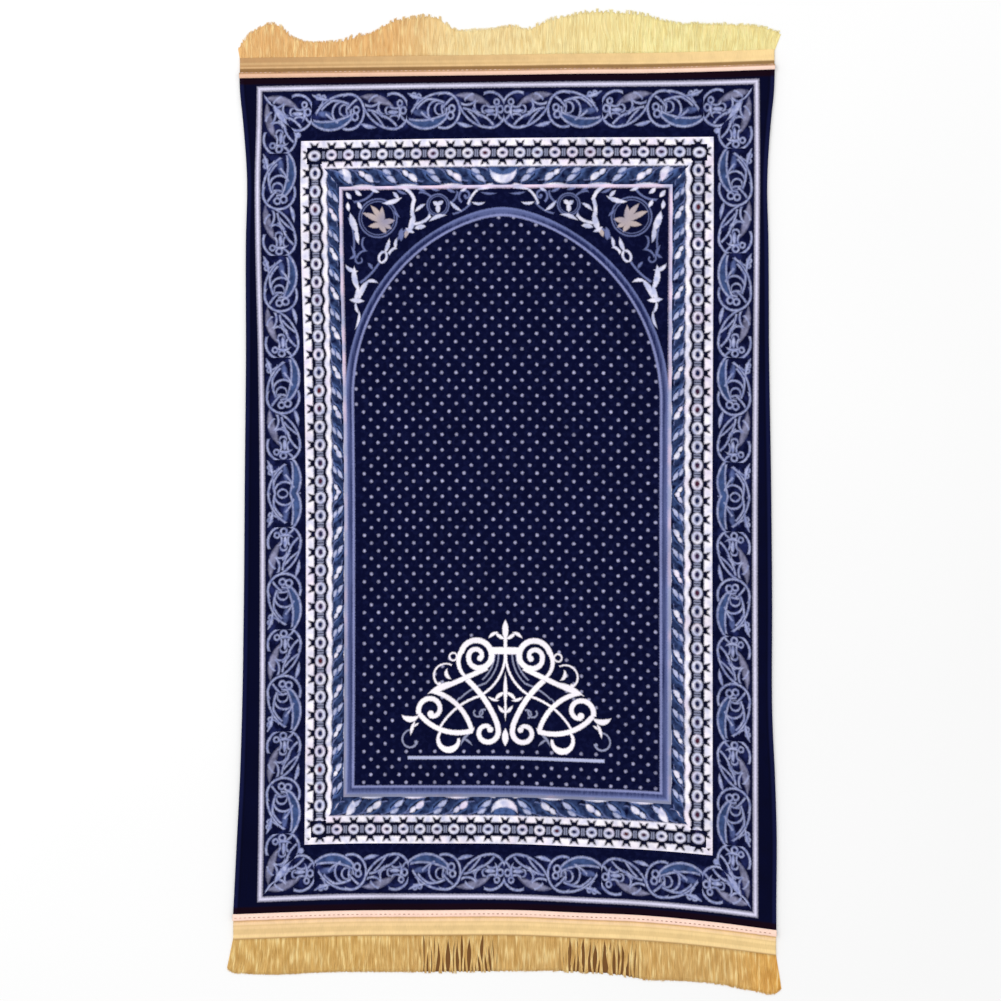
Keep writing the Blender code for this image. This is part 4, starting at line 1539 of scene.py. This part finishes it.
def many_tubes(name, points, materials):
    """Close many alike tubes in one mesh. points has the shape (tubes, sections, sides, 3)."""
    tubes, sections, sides, _ = points.shape
    one = tube_faces(sections, sides)
    size = sections * sides
    starts = (np.arange(tubes) * size)[:, None, None]
    quads = (one[None] + starts).reshape(-1, 4)
    ends = np.stack([np.arange(sides)[::-1], np.arange(sides) + size - sides])
    caps = (ends[None] + starts).reshape(-1, sides)
    flat = points.reshape(-1, 3)
    if signed_volume(flat[:size] - flat[0], one) < 0:
        quads, caps = quads[:, ::-1], caps[:, ::-1]
    return new_object(name, flat, [quads, caps], materials)


def drift(trim, roots, t):
    """How far a yarn has gone sideways a share t down its length.

    (lean * (root / end)^3 + sweep * sin(root / length + turn)) * t.
    """
    outermost = np.where(roots > 0, trim.lean_right, trim.lean_left)
    lean = outermost * (roots / trim_ends(trim)[1]) ** 3
    bend = np.sin(roots / trim.sweep_length * 2 * np.pi + SWEEP_TURN * t)
    return (lean + trim.sweep * bend) * t


def yarn_paths(trim, sizes, rng):
    """Centre lines of the yarns, of shape (yarns, sections).

    A yarn leaves the tape straight, drifts to the middle line of its lock as far as the
    fringe is loose there, and sways with that lock: x = root + pull * ease(t) + drift +
    sway * sin(turn * t + start).
    """
    left, right = trim_ends(trim)
    count = sizes.yarns
    roots = np.linspace(left + YARN_INSET, right - YARN_INSET, count)
    roots = (roots + rng.uniform(-0.5, 0.5, count) * (right - left) / count)[:, None]
    t = np.linspace(0, 1, sizes.yarn_sections)[None, :]
    loose = smooth_curve(trim.loose, "across", "loose")(roots)
    reach = smooth_curve(trim.reach, "across", "reach")(roots)
    lock = np.floor((roots - left) / trim.lock + rng.normal(0, LOCK_STRAY, (count, 1))).astype(int)
    locks = lock.max() + 2
    middle = left + (lock + 0.5) * trim.lock
    start = rng.uniform(0, 2 * np.pi, locks)[lock]
    turns = rng.uniform(*LOCK_TURNS, locks)[lock]
    sway = rng.uniform(*LOCK_SWAYS, locks)[lock] * trim.sway
    shorter = rng.uniform(-1, 1, locks)[lock] * trim.ragged
    ease = t * t * (3 - 2 * t)
    pull = (middle - roots) * (PULL_COMBED + PULL_LOOSE * loose)
    own = rng.uniform(-1, 1, (count, 1)) * sizes.yarn_stray
    x = (roots + pull * ease + drift(trim, roots, t) + own * t
         + sway * loose * (np.sin(turns * t + start) - np.sin(start)))
    length = reach - trim.tape + YARN_ROOT + shorter * (0.3 + loose)
    length = length + rng.uniform(-1, 1, (count, 1)) * trim.ragged * 0.5
    return x, trim.tape - YARN_ROOT + length * t, t


def build_fringe(trim, sizes, colours):
    """The upper yarns of one fringe, all apart, parted in locks where it is loose."""
    rng = np.random.default_rng(trim.seed)
    turns = np.linspace(0, 2 * np.pi, 4, endpoint=False) + np.pi / 4
    x, past, t = yarn_paths(trim, sizes, rng)
    count = len(x)
    lift = rng.uniform(0, 1, (count, 1))
    z = (YARN_HEIGHT + YARN_LIFT * lift) * (1 - YARN_SINK * t)
    z = z + YARN_WAVE * np.sin(7 * t + 30 * lift) * t
    width = sizes.yarn_width * rng.uniform(*YARN_WIDTHS, (count, 1))
    half = width / 2 * np.interp(t, *YARN_TAPER)
    tall = np.minimum(half * 0.4, z - YARN_CLEAR)
    slope_x = np.gradient(x, axis=1)
    slope_y = np.gradient(past, axis=1) * trim.side
    size = np.hypot(slope_x, slope_y)
    side_x, side_y = slope_y / size, -slope_x / size
    cos, sin = np.cos(turns), np.sin(turns)
    px = x[..., None] + half[..., None] * side_x[..., None] * cos
    py = on_trim(trim, x, past)[..., None] + half[..., None] * side_y[..., None] * cos
    pz = z[..., None] + tall[..., None] * sin * 1.2
    points = np.stack([px + SHIFT_X, py, pz], axis=-1)
    fringe = many_tubes(f"fringe_{trim.name}", points, [fringe_material(trim, colours)])
    tone = np.broadcast_to(rng.uniform(0, 1, (count, 1, 1)), px.shape)
    add_numbers(fringe, "tone", tone.ravel())
    add_numbers(fringe, "along", np.broadcast_to(t[..., None], px.shape).ravel())
    finish_trim(fringe, trim)


def build_bed(trim, sizes, colours):
    """The inner yarns, seen as one thin mat: an outline from the tape to the yarns' tips.

    Each section follows a yarn: it thins from its root to its tip, height = root's height *
    (1 - sink * t), and is cut off unevenly.
    """
    left, right = trim_ends(trim)
    stations = 2 * sizes.trim_stations
    x = np.linspace(left + TAPE_INSET, right - TAPE_INSET, stations)[:, None]
    rng = np.random.default_rng(trim.seed + 1)
    t = np.linspace(0, 1, BED_POINTS)[None, :]
    reach = smooth_curve(trim.reach, "across", "reach")(x) - trim.ragged
    reach = reach + rng.uniform(-0.5, 0.5, (stations, 1)) * trim.ragged
    past = trim.tape - YARN_ROOT + (reach - trim.tape + YARN_ROOT) * t
    across = x + drift(trim, x, t)
    height = BED_HEIGHT * (1 - BED_SINK * t) + rng.uniform(0, BED_STRAY, (stations, 1))
    ends = [-1, 0]
    past = np.concatenate([past, past[:, ends]], axis=1)
    across = np.concatenate([across, across[:, ends]], axis=1)
    height = np.concatenate([height, np.full((stations, 2), BED_UNDER)], axis=1)
    sections = np.stack([across + SHIFT_X, on_trim(trim, across, past), height], axis=-1)
    bed = swept(f"fringe_bed_{trim.name}", sections, bed_material(trim, colours))
    loose = smooth_curve(trim.loose, "across", "loose")(x)
    add_numbers(bed, "loose", np.broadcast_to(loose, past.shape).ravel())
    finish_trim(bed, trim)


def yarn_shader(name, trim, colours):
    """Begin a fringe's material: its place, and the yarns' colour from left to right."""
    shader = Shader(name)
    place = shader.object_place()
    x, _ = shader.parts(place)
    left, middle, right = (getattr(colours, name) for name in trim.fringe_colours)
    from_left, to_middle, from_middle, to_right = trim.turns
    light = shader.colour((x - from_left) / (to_middle - from_left), left, middle)
    light = shader.colour((x - from_middle) / (to_right - from_middle), light, right)
    deep = shader.colour(1.0, light, getattr(colours, trim.fringe_shade), "MULTIPLY")
    return shader, place, light, deep


def fringe_material(trim, colours):
    """Yarn from a deeper to a lighter gold, shaded at its root."""
    shader, place, light, deep = yarn_shader(f"fringe_{trim.name}", trim, colours)
    tone = shader.kept("tone")
    along = shader.kept("along")
    cloud = shader.noise(place, 60.0, 2.0, flat=False)
    streaks = shader.noise(shader.vector("MULTIPLY", place, (1.0, 0.15, 1.0)), 260.0, 1.0)
    shade = shader.colour(tone * 0.5 + cloud + streaks * 1.7 - 1.1, deep, light)
    shade = shader.colour(streaks * 3.0 - 1.65, shade, colours.fringe_glint)
    # Painted shadow on each yarn's root, under the tape's edge.
    root = (1.0 - along * 8.0).math("MULTIPLY", 0.1 + 0.3 * trim.gaps, clamp=True)
    shade = shader.colour(root, shade, colours.fringe_shadow)
    return shader.finish(shade, cloud * 0.2 + 0.45, sheen=0.1, gloss=0.3)


def bed_material(trim, colours):
    """The mat's streaks, as fine as yarns, with painted shade where the locks above part."""
    shader, place, light, deep = yarn_shader(f"fringe_bed_{trim.name}", trim, colours)
    streaks = shader.noise(shader.vector("MULTIPLY", place, (1.0, 0.06, 1.0)), 700.0, 2.0)
    shade = shader.colour(streaks * 1.6 - 0.5, deep, light)
    loose = shader.kept("loose")
    # Painted shade between the parted locks above, as strong as the fringe is loose there.
    gap = (loose - 0.45).math("MULTIPLY", 2.2, clamp=True) * trim.gaps
    shade = shader.colour(gap, shade, colours.fringe_shadow)
    return shader.finish(shade, streaks * 0.2 + 0.5, sheen=0.1, gloss=0.3)


# ---------------------------------------------------------------- add-on

def size_property(name, description, default, low=0.0):
    return FloatProperty(name=name, description=description, default=default, min=low,
                         unit="LENGTH", precision=5)


def colour_property(name, description, *shown):
    return FloatVectorProperty(name=name, description=description, default=paint(*shown),
                               size=4, min=0.0, max=1.0, subtype="COLOR")


class RugSizes(bpy.types.PropertyGroup):
    """Sizes that a user of the rug would change."""

    grid_step: size_property("Grid step", "Longest side of one face of the pile", 0.008, 0.002)
    hem_rise: size_property("Hem rise", "How far the side hem stands up", 0.0006)
    lie: size_property("Lie", "Height of the slow waves in the lying cloth", 0.0004)
    lip_rise: size_property("Lip rise", "Height of the rolled lip over the cloth", 0.0025)
    stitch_pitch: size_property("Stitch pitch", "From one stitch to the next", 0.0062, 0.001)
    stitch_length: size_property("Stitch length", "Length of one stitch", 0.0036)
    stitch_width: size_property("Stitch width", "Width of one stitch", 0.0013)
    yarn_width: size_property("Yarn width", "Width of one yarn of the fringe", 0.0008)
    yarn_stray: size_property("Yarn stray", "How far one yarn's tip strays", 0.0014)
    yarns: IntProperty(name="Yarns", description="Yarns in the upper layer of one fringe",
                       default=2200, min=100)
    yarn_sections: IntProperty(name="Yarn sections", description="Sections along one yarn",
                               default=10, min=3)
    trim_stations: IntProperty(name="Trim stations", description="Sections along one trim",
                               default=361, min=20)


class RugColours(bpy.types.PropertyGroup):
    """Colours of the pile's print and of the gold trims."""

    navy: colour_property("Navy", "Ground of the pile", 5, 8, 42)
    black: colour_property("Night", "Darkest ground, between rings and in the margin", 5, 6, 30)
    maroon: colour_property("Maroon", "Dark strip beside each lip", 22, 5, 14)
    hem: colour_property("Hem", "Rolled hem at the sides", 18, 22, 60)
    guard: colour_property("Guard line", "Line round the whole print", 226, 222, 248)
    white: colour_property("White", "Brightest print", 250, 244, 253)
    pale_lines: colour_property("Pale lines", "Lighter print of scrolls", 180, 185, 219)
    lines: colour_property("Lines", "Lavender print of scrolls", 118, 128, 178)
    pink: colour_property("Pink", "Faded pink of the frame line", 236, 212, 236)
    steel: colour_property("Steel", "Blue leaves", 72, 94, 146)
    haze: colour_property("Haze", "Cloudy ground of the scrolls", 42, 50, 106)
    mist: colour_property("Mist", "Greyish leaves", 96, 110, 164)
    dove: colour_property("Dove", "Grey leaves of the scrolls", 150, 150, 182)
    tan: colour_property("Tan", "Faded tan leaves", 190, 174, 172)
    dots: colour_property("Dots", "Dots of the field", 190, 190, 225)
    frame: colour_property("Frame", "Light streaks of the niche's blue strip", 86, 95, 142)
    frame_light: colour_property("Frame, light", "Inner line of that strip", 138, 144, 192)
    wine: colour_property("Wine", "Reddish holes of some rings", 96, 36, 44)
    frame_dark: colour_property("Frame, dark", "Dark streaks of that strip", 32, 39, 82)
    lip: colour_property("Lip", "Rolled lips", 255, 218, 200)
    lip_shaded: colour_property("Lip, shaded", "Lip of the niche end, on the left", 228, 182, 152)
    stitch: colour_property("Stitches", "Stitches on the lips", 142, 92, 66)
    tape: colour_property("Tape", "Woven tapes, on the right", 244, 211, 148)
    tape_shaded: colour_property("Tape, shaded", "Niche tape, on the left", 186, 142, 92)
    tape_foot: colour_property("Tape, foot", "Foot tape, on the left", 236, 200, 146)
    # Painted shade: the fringe's darkest colour, laid between loose locks and on the yarns' roots.
    fringe_shadow: colour_property("Fringe, dark", "Gaps between loose locks", 112, 70, 18)
    fringe_glint: colour_property("Fringe, glint", "Shiny streaks of both", 255, 232, 168)
    fringe_tan: colour_property("Fringe, tan", "Niche fringe, on the left", 242, 200, 138)
    fringe_gold: colour_property("Fringe, gold", "Niche fringe in the middle", 255, 238, 184)
    fringe_pale: colour_property("Fringe, pale", "Niche fringe, on the right", 255, 248, 184)
    fringe_ochre: colour_property("Fringe, ochre", "Foot fringe, on the left", 240, 204, 130)
    fringe_orange: colour_property("Fringe, orange", "Foot fringe, on the right", 250, 196, 98)
    fringe_middle: colour_property("Fringe, middle", "Foot fringe in the middle", 240, 204, 134)
    shade_niche: colour_property("Niche shade", "Laid over deeper niche yarns", 240, 226, 204)
    shade_foot: colour_property("Foot shade", "Laid over deeper foot yarns", 222, 204, 172)


class RUG_OT_cloth(bpy.types.Operator):
    """Lay the printed pile cloth with its hem"""

    bl_idname = "rug.cloth"
    bl_label = "Pile cloth"

    def execute(self, context):
        scene = context.scene
        build_cloth(scene.rug_sizes, scene.rug_colours)
        return {"FINISHED"}


class BothEnds:
    """A step that makes its kinds of piece at the niche end and then at the foot end."""

    def execute(self, context):
        for trim in TRIMS:
            for build in self.builders:
                build(trim, context.scene.rug_sizes, context.scene.rug_colours)
        return {"FINISHED"}


class RUG_OT_lips(BothEnds, bpy.types.Operator):
    """Roll a lip over each end of the cloth"""

    bl_idname = "rug.lips"
    bl_label = "Lips"

    builders = (build_lip,)


class RUG_OT_stitches(BothEnds, bpy.types.Operator):
    """Sew a row of stitches along each lip"""

    bl_idname = "rug.stitches"
    bl_label = "Stitches"

    builders = (build_seam,)


class RUG_OT_tapes(BothEnds, bpy.types.Operator):
    """Lay a woven tape along each end"""

    bl_idname = "rug.tapes"
    bl_label = "Tapes"

    builders = (build_tape,)


class RUG_OT_fringes(BothEnds, bpy.types.Operator):
    """Hang the loose yarns from each tape"""

    bl_idname = "rug.fringes"
    bl_label = "Fringes"
    builders = (build_bed, build_fringe)

    def execute(self, context):
        super().execute(context)
        pieces = [piece for piece in bpy.data.objects
                  if piece.name.startswith(("lip_", "stitches_", "tape_", "fringe_"))
                  and piece.type == "MESH" and piece.name not in CAD_NODES]
        return {"FINISHED"}


class RUG_OT_stage(bpy.types.Operator):
    """Set the pale floor, the soft light and the camera straight above the rug"""

    bl_idname = "rug.stage"
    bl_label = "Floor, light and camera"

    def execute(self, context):
        scene = context.scene
        corners = np.array([(-1, -1, 0), (1, -1, 0), (1, 1, 0), (-1, 1, 0)]) * FLOOR_HALF
        floor = new_object("floor", corners, [np.arange(4)[None, :]], [floor_material()])

        world = bpy.data.worlds.new("studio")
        world.use_nodes = True
        backdrop = world.node_tree.nodes["Background"]
        backdrop.inputs["Color"].default_value = (1.0, 1.0, 1.0, 1.0)
        backdrop.inputs["Strength"].default_value = WORLD_STRENGTH
        scene.world = world

        softbox = bpy.data.lights.new("softbox", "AREA")
        softbox.shape = "RECTANGLE"
        softbox.size, softbox.size_y = SOFTBOX_SIZE, SOFTBOX_SIZE
        softbox.energy = SOFTBOX_POWER
        lamp = bpy.data.objects.new("softbox", softbox)
        lamp.location = SOFTBOX_PLACE
        lamp.rotation_euler = Vector(SOFTBOX_PLACE).to_track_quat("Z", "Y").to_euler()
        scene.collection.objects.link(lamp)

        camera = bpy.data.cameras.new("camera")
        camera.sensor_width = SENSOR_WIDTH
        camera.lens = SENSOR_WIDTH * CAMERA_HEIGHT / VIEW_WIDTH
        seen = bpy.data.objects.new("camera", camera)
        seen.location = (VIEW_MIDDLE[0], VIEW_MIDDLE[1], CAMERA_HEIGHT)
        scene.collection.objects.link(seen)
        scene.camera = seen
        scene.view_settings.view_transform = "Standard"
        return {"FINISHED"}


def floor_material():
    shader = Shader("floor")
    place = shader.object_place()
    shade = shader.colour(shader.noise(place, 2.0, flat=False), FLOOR_WHITE, FLOOR_PALE)
    return shader.finish(shade, 0.9)


class RUG_PT_panel(bpy.types.Panel):
    """Sizes, colours and steps of the prayer rug"""

    bl_label = "Prayer rug"
    bl_idname = "RUG_PT_panel"
    bl_space_type = "VIEW_3D"
    bl_region_type = "UI"
    bl_category = "Rug"

    def draw(self, context):
        for group in (context.scene.rug_sizes, context.scene.rug_colours):
            box = self.layout.box()
            for name in group.__annotations__:
                box.prop(group, name)
        for step in STEPS:
            self.layout.operator(step.bl_idname)


STEPS = (RUG_OT_cloth, RUG_OT_lips, RUG_OT_stitches, RUG_OT_tapes, RUG_OT_fringes, RUG_OT_stage)
CLASSES = (RugSizes, RugColours) + STEPS + (RUG_PT_panel,)


def register():
    for kind in CLASSES:
        bpy.utils.register_class(kind)
    bpy.types.Scene.rug_sizes = PointerProperty(type=RugSizes)
    bpy.types.Scene.rug_colours = PointerProperty(type=RugColours)


def unregister():
    del bpy.types.Scene.rug_colours
    del bpy.types.Scene.rug_sizes
    for kind in reversed(CLASSES):
        bpy.utils.unregister_class(kind)


def main():
    register()
    bpy.ops.rug.cloth()
    bpy.ops.rug.lips()
    bpy.ops.rug.stitches()
    bpy.ops.rug.tapes()
    bpy.ops.rug.fringes()
    bpy.ops.rug.stage()


if __name__ == "__main__":
    main()
